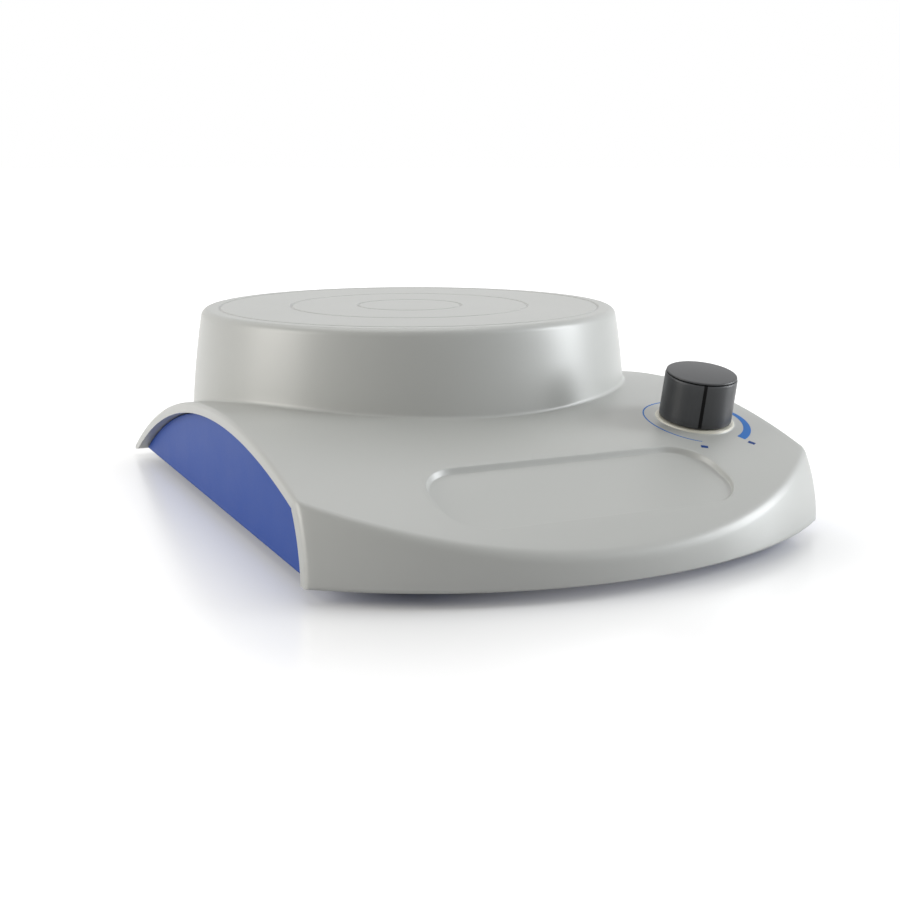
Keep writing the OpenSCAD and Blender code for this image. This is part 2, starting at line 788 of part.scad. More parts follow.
module speed_knob() {
    color([0.24, 0.24, 0.25]) at_knob() difference() {
        knob_shape();
        translate([0, 0, knob_foot - past]) cylinder(r = knob_hollow_r, h = knob_hollow_h + past);
        translate([0, 0, knob_foot]) cylinder(r = shaft_r + thread_fit, h = knob_bore_h);
        translate([0, 0, knob_foot + knob_h - cap_plug_l])
            cylinder(r = cap_plug_r + thread_fit, h = cap_plug_l + past);
        pointer_bar();
    }
}

// The cap: a plug under a disc whose edge is bevelled and whose top is gently domed.
module knob_cap() {
    cap_r = knob_top_r - cap_inset;
    disc_h = cap_h - cap_seam;
    color([0.30, 0.30, 0.31]) at_knob() translate([0, 0, knob_foot + knob_h]) {
        translate([0, 0, -cap_plug_l]) cylinder(r = cap_plug_r, h = cap_plug_l + cap_seam);
        translate([0, 0, cap_seam]) cylinder(r = cap_r, h = disc_h * 0.4);
        translate([0, 0, cap_seam + disc_h * 0.4])
            cylinder(r1 = cap_r, r2 = cap_r - disc_h * 0.4, h = disc_h * 0.4);
        translate([0, 0, cap_seam + disc_h * 0.8])
            cylinder(r1 = cap_r - disc_h * 0.4, r2 = cap_r * 0.4, h = disc_h * 0.2);
    }
}

module knob_pointer() {
    color([0.05, 0.05, 0.05]) at_knob() intersection() {
        knob_shape();
        pointer_bar();
    }
}

module power_inlet() {
    color([0.13, 0.13, 0.14]) at_inlet() difference() {
        union() {
            translate([0, 0, inlet_foot]) cylinder(r = inlet_r, h = inlet_l);
            translate([0, 0, inlet_seat]) cylinder(r = flange_r, h = flange_t);
            translate([-inlet_tab[0] / 2, inlet_tab_drop, inlet_foot - inlet_tab[2]])
                cube([inlet_tab[0], inlet_tab[1], inlet_tab[2] + 1]);
        }
        translate([0, 0, inlet_seat + flange_t - plug_depth]) cylinder(r = plug_r, h = plug_depth + past);
        translate([0, 0, inlet_foot - past]) cylinder(r = pin_r, h = inlet_l);
    }
}

module inlet_pin() {
    color([0.83, 0.80, 0.70]) at_inlet() translate([0, 0, inlet_foot - inlet_pin_out])
        cylinder(r = pin_r, h = inlet_seat + flange_t - 1 - inlet_foot + inlet_pin_out);
}

module inlet_nut() {
    color([0.75, 0.76, 0.77]) at_inlet() translate([0, 0, inlet_pad_in - inlet_nut_t]) difference() {
        cylinder(r = inlet_nut_r, h = inlet_nut_t, $fn = 6);
        translate([0, 0, -past]) cylinder(r = inlet_r + thread_fit, h = inlet_nut_t + 2 * past);
    }
}

// A point of the smooth curve between a route's points, t from 0 to 1 after point i.
function route_point(route, i, t) =
    let (a = route[max(i - 1, 0)], b = route[i], c = route[i + 1], d = route[min(i + 2, len(route) - 1)])
    b + t * (c - a) / 2 + t * t * (2 * a - 5 * b + 4 * c - d) / 2 + t * t * t * (3 * b - a - 3 * c + d) / 2;
function unit(v) = v / norm(v);
function along(route, path, i) =
    i == 0 ? unit(route[1] - route[0]) :
    i == len(path) - 1 ? unit(route[len(route) - 1] - route[len(route) - 2]) :
    unit(path[i + 1] - path[i - 1]);

// A round lead along a route, as a ring of points round each place on it.
module lead(route) {
    path = concat(
        [for (i = [0 : len(route) - 2], s = [0 : lead_steps - 1]) route_point(route, i, s / lead_steps)],
        [route[len(route) - 1]]
    );
    n = len(path);
    points = [for (i = [0 : n - 1])
        let (w = along(route, path, i), u = unit(cross(w, [0.05, 0.1, 1])), v = cross(w, u))
        for (k = [0 : lead_sides - 1])
            path[i] + lead_r * (cos(360 * k / lead_sides) * u + sin(360 * k / lead_sides) * v)];
    sides = [for (i = [0 : n - 2], k = [0 : lead_sides - 1])
        let (k2 = (k + 1) % lead_sides)
        [i * lead_sides + k, i * lead_sides + k2, (i + 1) * lead_sides + k2, (i + 1) * lead_sides + k]];
    polyhedron(points, concat(
        [[for (k = [lead_sides - 1 : -1 : 0]) k]],
        sides,
        [[for (k = [0 : lead_sides - 1]) (n - 1) * lead_sides + k]]
    ));
}

module motor_leads() {
    start_y = plate_y - motor_r - terminal_out;
    color([0.70, 0.15, 0.12]) for (s = [-1, 1]) lead([
        [s * terminal_x, start_y, terminal_z],
        [s * terminal_x, start_y - lead_end, terminal_z],
        [s * terminal_x * 0.75, start_y - lead_end - lead_bend, terminal_z],
        [motor_connector_x + s * 2, connector_rear_y + lead_bend, lead_entry_z - 2],
        [motor_connector_x + s * 2, connector_rear_y + lead_end, lead_entry_z],
        [motor_connector_x + s * 2, connector_rear_y, lead_entry_z]
    ]);
}

// The upper lead starts at the centre pin and the lower one at the barrel's tab.
module inlet_leads() {
    ends = [
        [plate_y + inlet_foot - inlet_pin_out, inlet_h],
        [plate_y + inlet_foot - inlet_tab[2], inlet_h - inlet_tab_drop - inlet_tab[1] / 2]
    ];
    color([0.10, 0.10, 0.11]) for (i = [0, 1])
        let (end = ends[i], s = 1 - 2 * i)
        lead([
            [0, end[0], end[1]],
            [0, end[0] - lead_end, end[1]],
            [-lead_run_x * 0.6, plate_y + inlet_foot - lead_end - 1.2 * lead_bend,
                (inlet_h + lead_run_z) / 2 - 0.5 + s * lead_apart * 1.2],
            [-lead_run_x, plate_y + motor_r + 8, lead_run_z + s * lead_apart],
            [-lead_run_x, plate_y, lead_run_z + s * lead_apart],
            [-lead_run_x - 2, plate_y - motor_r - lead_bend, lead_run_z + s * lead_apart],
            [inlet_connector_x + s * lead_apart, connector_rear_y + lead_bend, lead_entry_z - 2],
            [inlet_connector_x + s * lead_apart, connector_rear_y + lead_end, lead_entry_z],
            [inlet_connector_x + s * lead_apart, connector_rear_y, lead_entry_z]
        ]);
}

module dial_leads() {
    color([0.85, 0.75, 0.20]) for (i = [0 : len(pot_pins) - 1]) {
        start = knob_point([-pot_r - pot_pin_l, pot_pins[i], pot_pin_z]);
        end_y = dial_connector_y + (i - 1) * 2.5;
        lead([
            start,
            start - [lead_end, 0, 0],
            [dial_connector_x + 2 * lead_end, end_y, lead_entry_z + 1],
            [dial_connector_x + 0.7 * lead_end, end_y, lead_entry_z],
            [dial_connector_x, end_y, lead_entry_z]
        ]);
    }
}

top_cover();
base_tray();
rubber_feet();
case_screws();
motor_can();
motor_end_cap();
motor_terminals();
field_magnets();
motor_bushes();
armature();
motor_shaft();
motor_bracket();
motor_screws();
bracket_screws();
rotor_hub();
grub_screw();
magnet_yoke();
magnet_cage();
drive_magnets();
cage_screws();
control_board();
board_screws();
microcontroller();
smoothing_capacitor();
voltage_regulator();
heat_sink();
lead_connectors();
potentiometer();
potentiometer_shaft();
potentiometer_washer();
potentiometer_nut();
speed_knob();
knob_cap();
knob_pointer();
power_inlet();
inlet_pin();
inlet_nut();
motor_leads();
inlet_leads();
dial_leads();
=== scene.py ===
# Compact magnetic stirrer: light cover with a round plate, blue tray, speed knob at the front.
# Metres, +Z up, front towards -Y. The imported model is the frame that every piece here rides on.
import math
import bpy
import numpy as np
from mathutils import Matrix, Vector


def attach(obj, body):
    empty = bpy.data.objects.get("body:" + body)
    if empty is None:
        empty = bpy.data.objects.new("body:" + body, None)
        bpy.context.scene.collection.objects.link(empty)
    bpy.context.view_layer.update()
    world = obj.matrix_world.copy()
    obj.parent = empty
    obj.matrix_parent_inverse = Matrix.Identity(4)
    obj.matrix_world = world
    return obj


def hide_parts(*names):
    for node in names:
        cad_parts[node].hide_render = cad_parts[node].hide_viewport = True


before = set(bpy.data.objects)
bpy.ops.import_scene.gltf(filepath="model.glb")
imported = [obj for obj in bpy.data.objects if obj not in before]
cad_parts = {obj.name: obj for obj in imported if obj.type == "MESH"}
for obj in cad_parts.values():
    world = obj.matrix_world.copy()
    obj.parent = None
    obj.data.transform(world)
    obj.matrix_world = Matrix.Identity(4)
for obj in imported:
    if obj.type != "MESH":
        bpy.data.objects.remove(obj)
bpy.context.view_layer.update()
print("frame loaded:", len(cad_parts), "nodes")


# small helpers for working in object and edit mode

def deselectAll():
    if bpy.context.object and bpy.context.object.mode != "OBJECT":
        bpy.ops.object.mode_set(mode="OBJECT")
    bpy.ops.object.select_all(action="DESELECT")


def workOn(piece):
    deselectAll()
    piece.select_set(True)
    bpy.context.view_layer.objects.active = piece


def named(name):
    # the primitive just added, under its own name and with its place in its mesh
    piece = bpy.context.object
    piece.name = name
    piece.data.name = name
    bpy.ops.object.transform_apply(location=True, rotation=True, scale=True)
    return piece


def points(piece):
    flat = np.empty(len(piece.data.vertices) * 3)
    piece.data.vertices.foreach_get("co", flat)
    return flat.reshape(-1, 3)


def setPoints(piece, places):
    piece.data.vertices.foreach_set("co", np.asarray(places, dtype=float).ravel())
    piece.data.update()


def editMode(piece, select="VERT"):
    workOn(piece)
    bpy.ops.object.mode_set(mode="EDIT")
    bpy.ops.mesh.select_mode(type=select)
    bpy.ops.mesh.select_all(action="DESELECT")


def objectMode():
    bpy.ops.object.mode_set(mode="OBJECT")


def edgeEnds(mesh):
    ends = np.empty(len(mesh.edges) * 2, dtype=int)
    mesh.edges.foreach_get("vertices", ends)
    return ends.reshape(-1, 2)


def everyVertex(piece):
    return np.ones(len(piece.data.vertices), dtype=bool)


def selectVertices(piece, mask):
    # called in object mode: marks these vertices, and nothing else, as selected
    mesh = piece.data
    mask = np.asarray(mask, dtype=bool)
    edges = edgeEnds(mesh)
    mesh.vertices.foreach_set("select", mask)
    mesh.edges.foreach_set("select", mask[edges].all(axis=1))
    mesh.polygons.foreach_set("select", [bool(mask[list(face.vertices)].all()) for face in mesh.polygons])


def selectBorder(piece, mask):
    # open edges whose ends are both in the mask
    mesh = piece.data
    mask = np.asarray(mask, dtype=bool)
    edges = edgeEnds(mesh)
    used = np.empty(len(mesh.loops), dtype=int)
    mesh.loops.foreach_get("edge_index", used)
    openEdges = (np.bincount(used, minlength=len(edges)) == 1) & mask[edges].all(axis=1)
    chosen = np.zeros(len(mask), dtype=bool)
    chosen[edges[openEdges].ravel()] = True
    mesh.polygons.foreach_set("select", np.zeros(len(mesh.polygons), dtype=bool))
    mesh.vertices.foreach_set("select", chosen)
    mesh.edges.foreach_set("select", openEdges)
    return chosen


def weldBorder(piece, near, threshold):
    # doubles along the open edges near a cut go; near says which places count
    editMode(piece, "EDGE")
    objectMode()
    selectBorder(piece, near(points(piece)))
    bpy.ops.object.mode_set(mode="EDIT")
    bpy.ops.mesh.remove_doubles(threshold=threshold)
    objectMode()
    return selectBorder(piece, near(points(piece)))


def deleteVertices(piece, mask):
    editMode(piece)
    objectMode()
    selectVertices(piece, mask)
    bpy.ops.object.mode_set(mode="EDIT")
    bpy.ops.mesh.delete(type="VERT")
    objectMode()


def growRings(piece, rings, group=None):
    # the selected open edges are extruded ring by ring; each ring is (place function, weight in the group)
    mesh = piece.data
    for place, weight in rings:
        bpy.ops.object.mode_set(mode="EDIT")
        bpy.ops.mesh.select_mode(type="EDGE")
        bpy.ops.mesh.extrude_region_move()
        objectMode()
        picked = np.empty(len(mesh.vertices), dtype=bool)
        mesh.vertices.foreach_get("select", picked)
        where = points(piece)
        chosen = np.flatnonzero(picked)
        for index in chosen:
            where[index] = place(where[index])
        setPoints(piece, where)
        if group:
            piece.vertex_groups[group].add([int(index) for index in chosen], weight, "REPLACE")


def applyModifier(piece, kind, **settings):
    workOn(piece)
    modifier = piece.modifiers.new(kind.title(), kind)
    for name, value in settings.items():
        setattr(modifier, name, value)
    bpy.ops.object.modifier_apply(modifier=modifier.name)


def smooth(piece, angle):
    workOn(piece)
    bpy.ops.object.shade_smooth_by_angle(angle=math.radians(angle))


def fixNormals(piece):
    editMode(piece)
    bpy.ops.mesh.select_all(action="SELECT")
    bpy.ops.mesh.normals_make_consistent(inside=False)
    objectMode()


def turned(name, rings, segments, filled=True):
    # a round piece about +Z: a disc or a ring extruded and scaled through (radius, height) steps
    deselectAll()
    radius, height = rings[0]
    bpy.ops.mesh.primitive_circle_add(vertices=segments, radius=radius, location=(0, 0, height),
                                      fill_type="NGON" if filled else "NOTHING")
    piece = named(name)
    bpy.ops.object.mode_set(mode="EDIT")
    bpy.ops.mesh.select_mode(type="FACE" if filled else "EDGE")
    bpy.ops.mesh.select_all(action="SELECT")
    for nextRadius, nextHeight in rings[1:]:
        bpy.ops.mesh.extrude_region_move(TRANSFORM_OT_translate={"value": (0, 0, nextHeight - height)})
        scale = nextRadius / radius
        bpy.ops.transform.resize(value=(scale, scale, 1), center_override=(0, 0, nextHeight))
        radius, height = nextRadius, nextHeight
    objectMode()
    fixNormals(piece)
    return piece


def turnedTube(name, rings, segments):
    # the same with open ends, which are then bridged into a closed tube
    piece = turned(name, rings, segments, filled=False)
    editMode(piece, "EDGE")
    objectMode()
    selectBorder(piece, everyVertex(piece))
    bpy.ops.object.mode_set(mode="EDIT")
    bpy.ops.mesh.bridge_edge_loops()
    objectMode()
    fixNormals(piece)
    return piece


def joined(pieces, name):
    deselectAll()
    for piece in pieces:
        piece.select_set(True)
    bpy.context.view_layer.objects.active = pieces[0]
    bpy.ops.object.join()
    pieces[0].name = name
    pieces[0].data.name = name
    return pieces[0]


def arc(centre, radius, start, end, steps):
    # (x, z) points on an arc, angles in degrees, both ends included
    return [(centre[0] + radius * math.cos(math.radians(start + (end - start) * i / steps)),
             centre[1] + radius * math.sin(math.radians(start + (end - start) * i / steps)))
            for i in range(steps + 1)]


# case and stirring plate

caseSize = {
    "width": 0.145,
    "length": 0.205,
    "gap": 0.0034,          # lower edge above the bench
    "crownTop": 0.0326,
    "crownShare": 0.5307,   # place of the crown's top from the rear, as a share of the length
    "wall": 0.003,
    "frontRadius": 0.1168,
    "skirtRadius": 0.040,
    "creaseRadius": 0.0045,
    "edgeRadius": 0.0011,
    "edgeAngle": 50,        # sharper corners of the outer edge are rounded
    "columns": 72,
    "skirtRows": 10,
    "creaseRows": 10,
    "crownRows": 92,
    "tipLength": 0.0012,    # blunt rear end: its length, how far it comes down, and its wall
    "tipDrop": 0.0012,
    "tipRows": 5,
    "tipWall": 0.0019,
    "tipLean": 0.0005,
}
frontY = -caseSize["length"] / 2
rearY = caseSize["length"] / 2
gap = caseSize["gap"]
frontAxisY = frontY + caseSize["frontRadius"]
crownBack = caseSize["length"] * caseSize["crownShare"]
crownY = rearY - crownBack
crownRise = caseSize["crownTop"] - gap
crownRadius = (crownBack ** 2 + crownRise ** 2) / (2 * crownRise)
crownCentreZ = caseSize["crownTop"] - crownRadius


def crownZ(y):
    return crownCentreZ + math.sqrt(crownRadius ** 2 - (y - crownY) ** 2)


def skirtY(x, z):
    skirt = caseSize["skirtRadius"]
    reach = caseSize["frontRadius"] - skirt + math.sqrt(max(skirt ** 2 - (z - gap) ** 2, 0))
    return frontAxisY - math.sqrt(reach ** 2 - x ** 2)


def creaseAt(x):
    # the rounding between skirt and crown, in the plane of one column: where it starts, its centre and its angles
    radius = caseSize["creaseRadius"]

    def centre(z):
        y = skirtY(x, z)
        lean = (skirtY(x, z + 1e-5) - skirtY(x, z - 1e-5)) / 2e-5
        size = math.hypot(1, lean)
        return y + radius / size, z - radius * lean / size, math.atan2(lean / size, -1 / size)

    low, high = gap, caseSize["crownTop"]
    for _ in range(50):
        middle = (low + high) / 2
        y, z, _ = centre(middle)
        if math.hypot(y - crownY, z - crownCentreZ) < crownRadius - radius:
            low = middle
        else:
            high = middle
    y, z, skirtAngle = centre(low)
    crownAngle = math.atan2(z - crownCentreZ, y - crownY)
    return low, (y, z), skirtAngle, crownAngle


def caseColumn(x):
    # the outside of the case along one column, from the front's lower edge to the rear edge
    skirtTop, centre, skirtAngle, crownAngle = creaseAt(x)
    column = []
    for i in range(caseSize["skirtRows"]):
        z = gap + (skirtTop - gap) * i / caseSize["skirtRows"]
        column.append((skirtY(x, z), z))
    for i in range(caseSize["creaseRows"]):
        angle = skirtAngle + (crownAngle - skirtAngle) * i / caseSize["creaseRows"]
        column.append((centre[0] + caseSize["creaseRadius"] * math.cos(angle),
                       centre[1] + caseSize["creaseRadius"] * math.sin(angle)))
    tipY = rearY - caseSize["tipLength"]
    endAngle = math.atan2(crownZ(tipY) - crownCentreZ, tipY - crownY)
    for i in range(caseSize["crownRows"] + 1):
        angle = crownAngle + (endAngle - crownAngle) * i / caseSize["crownRows"]
        column.append((crownY + crownRadius * math.cos(angle), crownCentreZ + crownRadius * math.sin(angle)))
    # the rear end turns down into a short blunt edge
    for i in range(1, caseSize["tipRows"] + 1):
        share = i / caseSize["tipRows"]
        a, b, c = (1 - share) ** 2, 2 * share * (1 - share), share ** 2
        column.append((a * tipY + (b + c) * rearY, a * crownZ(tipY) + b * gap + c * (gap - caseSize["tipDrop"])))
    return column


def lowEdgeZ(y):
    # height of the case's lower edge, which comes down a little at the rear end
    share = np.clip((y - rearY + 0.009) / 0.008, 0, 1)    # from 9 mm to 1 mm before the end
    return gap - caseSize["tipDrop"] * share * share * (3 - 2 * share)


plateSize = {
    "back": 0.0708,          # centre of the plate, from the rear
    "top": 0.0548,
    "drumRadius": 0.068,
    "bowRadius": 0.300,      # the drum's wall bows in a little towards the top
    "rimRadius": 0.0025,
    "footFillet": 0.0012,
    "reach": 0.0695,         # the drum's parts lie within this distance of its axis
    "wallShare": 0.78,       # its wall, as a share of the case's
    "sides": 256,
    "footRows": 6,
    "wallRows": 7,
    "rimRows": 8,
    "middle": 0.006,
    "rings": (0.0161, 0.0366, 0.0583),
    "ringWidth": 0.0011,
    "ringDepth": 0.0004,
    "ringSteps": (2.2, 0.5, 0.28, 0.12, -0.12, -0.28, -0.5, -2.2),    # in widths, from the ring's middle
}
plateY = rearY - plateSize["back"]


def drumRadiusAt(z):
    bow = plateSize["bowRadius"]
    return plateSize["drumRadius"] - bow + math.sqrt(bow ** 2 - (z - gap) ** 2)


labelSize = {
    "outer": (0.00025, -0.0765, 0.04075, 0.0132, 0.0110),       # middle x, y, half sizes, corner
    "inner": (0.00025, -0.0765, 0.03985, 0.0123, 0.0101),
    "depth": 0.0014,         # at the rear edge
    "frontStep": 0.00042,    # at the front edge
    "reach": 0.0001,
    "cornerSides": 14,
    # the wall: shares of the way inwards, and of the depth there
    "wall": ((0, 0), (0.08, 0.02), (0.18, 0.1), (0.3, 0.3), (0.42, 0.56), (0.54, 0.78), (0.66, 0.91), (0.8, 0.98),
             (1, 1)),
}
knobSize = {
    "x": 0.0514,
    "y": -0.0492,
    "radius": 0.010,
    "topRadius": 0.0099,
    "height": 0.0124,
    "gap": 0.0003,           # between the boss and the knob
    "sides": 128,
    "footEdge": 0.0003,      # roundings at the foot and the top
    "topEdge": 0.0005,
    # hollow underside and the well under the cap: radius, height from the foot or from the top
    "hollow": ((0.0062, 0.0042), (0.0076, 0.0040), (0.0076, 0.0003), (0.0078, 0)),
    "well": ((0.0084, 0), (0.0082, -0.0002), (0.0081, -0.0014), (0.0032, -0.0016)),
    "shaftHole": (0.0031, 0.0040),
    "bossHeight": 0.0004,
    "bossRadius": 0.0108,
    "bossCut": 0.0112,       # the crown is cut open up to this radius
    # the boss's rounded foot: distance outside its radius, and share of its height
    "bossRows": ((0.0003, 0.06), (0.00012, 0.2), (0, 0.5), (-0.00005, 0.75), (-0.00018, 0.93), (-0.0004, 1)),
    "bossMiddle": 0.008,
    "holeRadius": 0.0036,
    "reach": 0.013,
    "capHeight": 0.0011,
    "capSeam": 0.0003,
    "capRadius": 0.0097,
    "capShoulder": 0.0004,
    "capDome": 0.00042,
    "capSpigot": ((0.0079, -0.0013), (0.0080, -0.0012)),
    "capRows": (0.93, 0.8, 0.65, 0.5, 0.35, 0.2, 0.08),
    "pointerWidth": 0.0009,
    "pointerAngle": 27,
    "pointerLift": 0.00006,
    "pointerDepth": 0.0004,
}
knobZ = crownZ(knobSize["y"])
knobTilt = math.asin((crownY - knobSize["y"]) / crownRadius)
knobPlace = Matrix.Translation((knobSize["x"], knobSize["y"], knobZ)) @ Matrix.Rotation(knobTilt, 4, "X")
knobInverse = knobPlace.inverted()


def nearDrum(places):
    return np.hypot(places[:, 0], places[:, 1] - plateY) < plateSize["reach"]


def nearKnob(places):
    return np.hypot(places[:, 0] - knobSize["x"], places[:, 1] - knobSize["y"]) < knobSize["reach"]


def labelDistance(x, y):
    # distance from the recess's outline, negative inside it
    centreX, centreY, halfX, halfY, corner = labelSize["outer"]
    dx, dy = abs(x - centreX) - (halfX - corner), abs(y - centreY) - (halfY - corner)
    return math.hypot(max(dx, 0), max(dy, 0)) + min(max(dx, dy), 0) - corner


def onLabelBorder(places):
    return np.array([abs(labelDistance(x, y)) < labelSize["reach"] for x, y, z in places])


def labelOutline(share):
    # the recess's outline, from the outer one at 0 to the inner one at 1
    return [a + (b - a) * share for a, b in zip(labelSize["outer"], labelSize["inner"])]


def labelPoint(where, fromShare, toShare):
    # a point of one outline taken to the same place on another
    centreX, centreY, halfX, halfY, corner = labelOutline(fromShare)
    dx, dy = where[0] - centreX, where[1] - centreY
    coreX = max(-1, min(1, dx / (halfX - corner)))
    coreY = max(-1, min(1, dy / (halfY - corner)))
    unit = Vector((dx - coreX * (halfX - corner), dy - coreY * (halfY - corner)))
    unit.normalize()
    centreX, centreY, halfX, halfY, corner = labelOutline(toShare)
    return (centreX + coreX * (halfX - corner) + corner * unit.x,
            centreY + coreY * (halfY - corner) + corner * unit.y)


def labelFloorZ(y):
    # the recess's flat floor: full depth at its rear edge, running out at its front edge
    centreY, halfY = labelSize["outer"][1], labelSize["outer"][3]
    front, rear = centreY - halfY, centreY + halfY
    low, high = crownZ(front) - labelSize["frontStep"], crownZ(rear) - labelSize["depth"]
    return low + (high - low) * (y - front) / (rear - front)


def buildCover():
    columns = caseSize["columns"]
    profiles = [caseColumn(caseSize["width"] * (i / columns - 0.5)) for i in range(columns + 1)]
    rows = len(profiles[0]) - 1
    deselectAll()
    bpy.ops.mesh.primitive_grid_add(x_subdivisions=columns, y_subdivisions=rows, size=1)
    cover = named("caseCover")
    places = points(cover)
    for index, (u, v, _) in enumerate(places.copy()):
        column, row = round((u + 0.5) * columns), round((v + 0.5) * rows)
        y, z = profiles[column][row]
        places[index] = (caseSize["width"] * (column / columns - 0.5), y, z)
    setPoints(cover, places)
    for group in ("recess", "boss"):
        cover.vertex_groups.new(name=group)

    # cutters through the crown: the drum's foot, the knob's boss and the recess's outline
    fillet, sides = plateSize["footFillet"], plateSize["sides"]
    lowZ, highZ = 0.001, 0.036
    lowRadius, highRadius = drumRadiusAt(lowZ) + fillet, drumRadiusAt(highZ) + fillet
    deselectAll()
    bpy.ops.mesh.primitive_cone_add(vertices=sides, radius1=lowRadius, radius2=highRadius, depth=highZ - lowZ,
                                    end_fill_type="NOTHING", location=(0, plateY, (lowZ + highZ) / 2))
    drumCutter = named("drumCutter")
    bossBorder, bossSides = knobSize["bossCut"], 96
    deselectAll()
    bpy.ops.mesh.primitive_cylinder_add(vertices=bossSides, radius=bossBorder, depth=0.012,
                                        end_fill_type="NOTHING", location=knobPlace.translation,
                                        rotation=(knobTilt, 0, 0))
    bossCutter = named("bossCutter")
    centreX, centreY, halfX, halfY, corner = labelSize["outer"]
    cutDepth = 0.024
    deselectAll()
    bpy.ops.mesh.primitive_plane_add(size=1, location=(centreX, centreY, cutDepth / 2))
    bpy.context.object.scale = (2 * halfX, 2 * halfY, 1)
    labelCutter = named("labelCutter")
    bpy.ops.object.mode_set(mode="EDIT")
    bpy.ops.mesh.select_mode(type="VERT")
    bpy.ops.mesh.select_all(action="SELECT")
    bpy.ops.mesh.bevel(offset=corner, segments=labelSize["cornerSides"], affect="VERTICES", clamp_overlap=False)
    bpy.ops.mesh.select_mode(type="FACE")
    bpy.ops.mesh.select_all(action="SELECT")
    bpy.ops.mesh.delete(type="ONLY_FACE")
    bpy.ops.mesh.select_mode(type="EDGE")
    bpy.ops.mesh.select_all(action="SELECT")
    bpy.ops.mesh.extrude_region_move(TRANSFORM_OT_translate={"value": (0, 0, cutDepth)})
    objectMode()
    cutters = joined([drumCutter, bossCutter, labelCutter], "coverCutters")
    gridCount = len(cover.data.vertices)
    joined([cover, cutters], "caseCover")
    mask = np.arange(len(cover.data.vertices)) >= gridCount
    editMode(cover)
    objectMode()
    selectVertices(cover, mask)
    bpy.ops.object.mode_set(mode="EDIT")
    bpy.ops.mesh.select_mode(type="FACE")
    bpy.ops.mesh.intersect(mode="SELECT_UNSELECT", separate_mode="NONE", solver="EXACT")
    objectMode()

    # what is left of the cutters, and the surface inside each outline, goes
    def goes(where):
        x, y, z = where
        cone = lowRadius + (highRadius - lowRadius) * (z - lowZ) / (highZ - lowZ)
        local = knobInverse @ Vector(where)
        return (abs(z - crownZ(y)) > 4e-5
                or math.hypot(x, y - plateY) < cone * math.cos(math.pi / sides) - 2e-5
                or math.hypot(local.x, local.y) < bossBorder * math.cos(math.pi / bossSides) - 2e-5
                or labelDistance(x, y) < -6e-5)

    places = points(cover)
    inLabel = np.array([labelDistance(x, y) < labelSize["reach"] for x, y, z in places])
    near = nearDrum(places) | nearKnob(places) | inLabel
    deleteVertices(cover, np.array([near[i] and goes(places[i]) for i in range(len(places))]))
    print("cover cut:", len(cover.data.vertices), "vertices")
    return cover


cover = buildCover()


def growDrum(cover):
    top, rim, bow = plateSize["top"], plateSize["rimRadius"], plateSize["bowRadius"]
    rimZ = top - rim
    rimX = plateSize["drumRadius"] - bow + math.sqrt((bow - rim) ** 2 - (rimZ - gap) ** 2)
    rimStart = math.degrees(math.asin((rimZ - gap) / (bow - rim)))
    wallTop = rimZ + rim * math.sin(math.radians(rimStart))
    fillet = plateSize["footFillet"]
    foot = {}    # angle, radius and height of the drum's foot, filled in once its border is clean

    def footAt(where):
        angle = math.atan2(where[1] - plateY, where[0])
        return (np.interp(angle, foot["angle"], foot["radius"]),
                np.interp(angle, foot["angle"], foot["height"]))

    def at(where, radius, z):
        away = Vector((where[0], where[1] - plateY)).normalized()
        return away.x * radius, plateY + away.y * radius, z

    def footRing(share):
        # from the crown, round the corner and up the wall
        def place(where):
            outR, outZ = footAt(where)
            corner = (drumRadiusAt(outZ), outZ)
            up = (drumRadiusAt(outZ + fillet), outZ + fillet)
            a, b, c = (1 - share) ** 2, 2 * share * (1 - share), share ** 2
            return at(where, a * outR + b * corner[0] + c * up[0], a * outZ + b * corner[1] + c * up[1])
        return place

    def wallRing(share):
        def place(where):
            low = footAt(where)[1] + fillet
            z = low + (wallTop - low) * share
            return at(where, drumRadiusAt(z), z)
        return place

    def flatRing(radius, z):
        return lambda where: at(where, radius, z)

    chosen = weldBorder(cover, nearDrum, 0.00012)
    border = points(cover)[chosen]
    angles = np.arctan2(border[:, 1] - plateY, border[:, 0])
    order = np.argsort(angles)
    around = np.concatenate([order[-1:], order, order[:1]])
    foot["angle"] = angles[around] + np.array([-2 * math.pi] + [0] * len(order) + [2 * math.pi])
    foot["radius"] = np.hypot(border[around, 0], border[around, 1] - plateY)
    foot["height"] = border[around, 2]
    footRows, wallRows = plateSize["footRows"], plateSize["wallRows"]
    rings = [footRing(i / footRows) for i in range(1, footRows + 1)]
    rings += [wallRing(i / wallRows) for i in range(1, wallRows + 1)]
    rings += [flatRing(r, z) for r, z in arc((rimX, rimZ), rim, rimStart, 90, plateSize["rimRows"])[1:]]
    for radius in sorted(plateSize["rings"], reverse=True):
        rings += [flatRing(radius + step * plateSize["ringWidth"], top) for step in plateSize["ringSteps"]]
    rings.append(flatRing(plateSize["middle"], top))
    growRings(cover, [(ring, None) for ring in rings])
    bpy.ops.object.mode_set(mode="EDIT")
    bpy.ops.mesh.extrude_region_move()
    bpy.ops.mesh.merge(type="CENTER")
    objectMode()


def growBoss(cover):
    # flat rings on the crown, which are lifted once the wall has its thickness
    def ring(radius):
        def place(where):
            local = knobInverse @ Vector(where)
            away = Vector((local.x, local.y)).normalized()
            x, y = away.x * radius, away.y * radius
            world = knobPlace @ Vector((x, y, 0))
            return world.x, world.y, crownZ(world.y)
        return place

    weldBorder(cover, nearKnob, 0.00008)
    rings = [(ring(knobSize["bossRadius"] + step), weight) for step, weight in knobSize["bossRows"]]
    rings += [(ring(knobSize["bossMiddle"]), 1), (ring(knobSize["holeRadius"]), 1)]
    growRings(cover, rings, "boss")


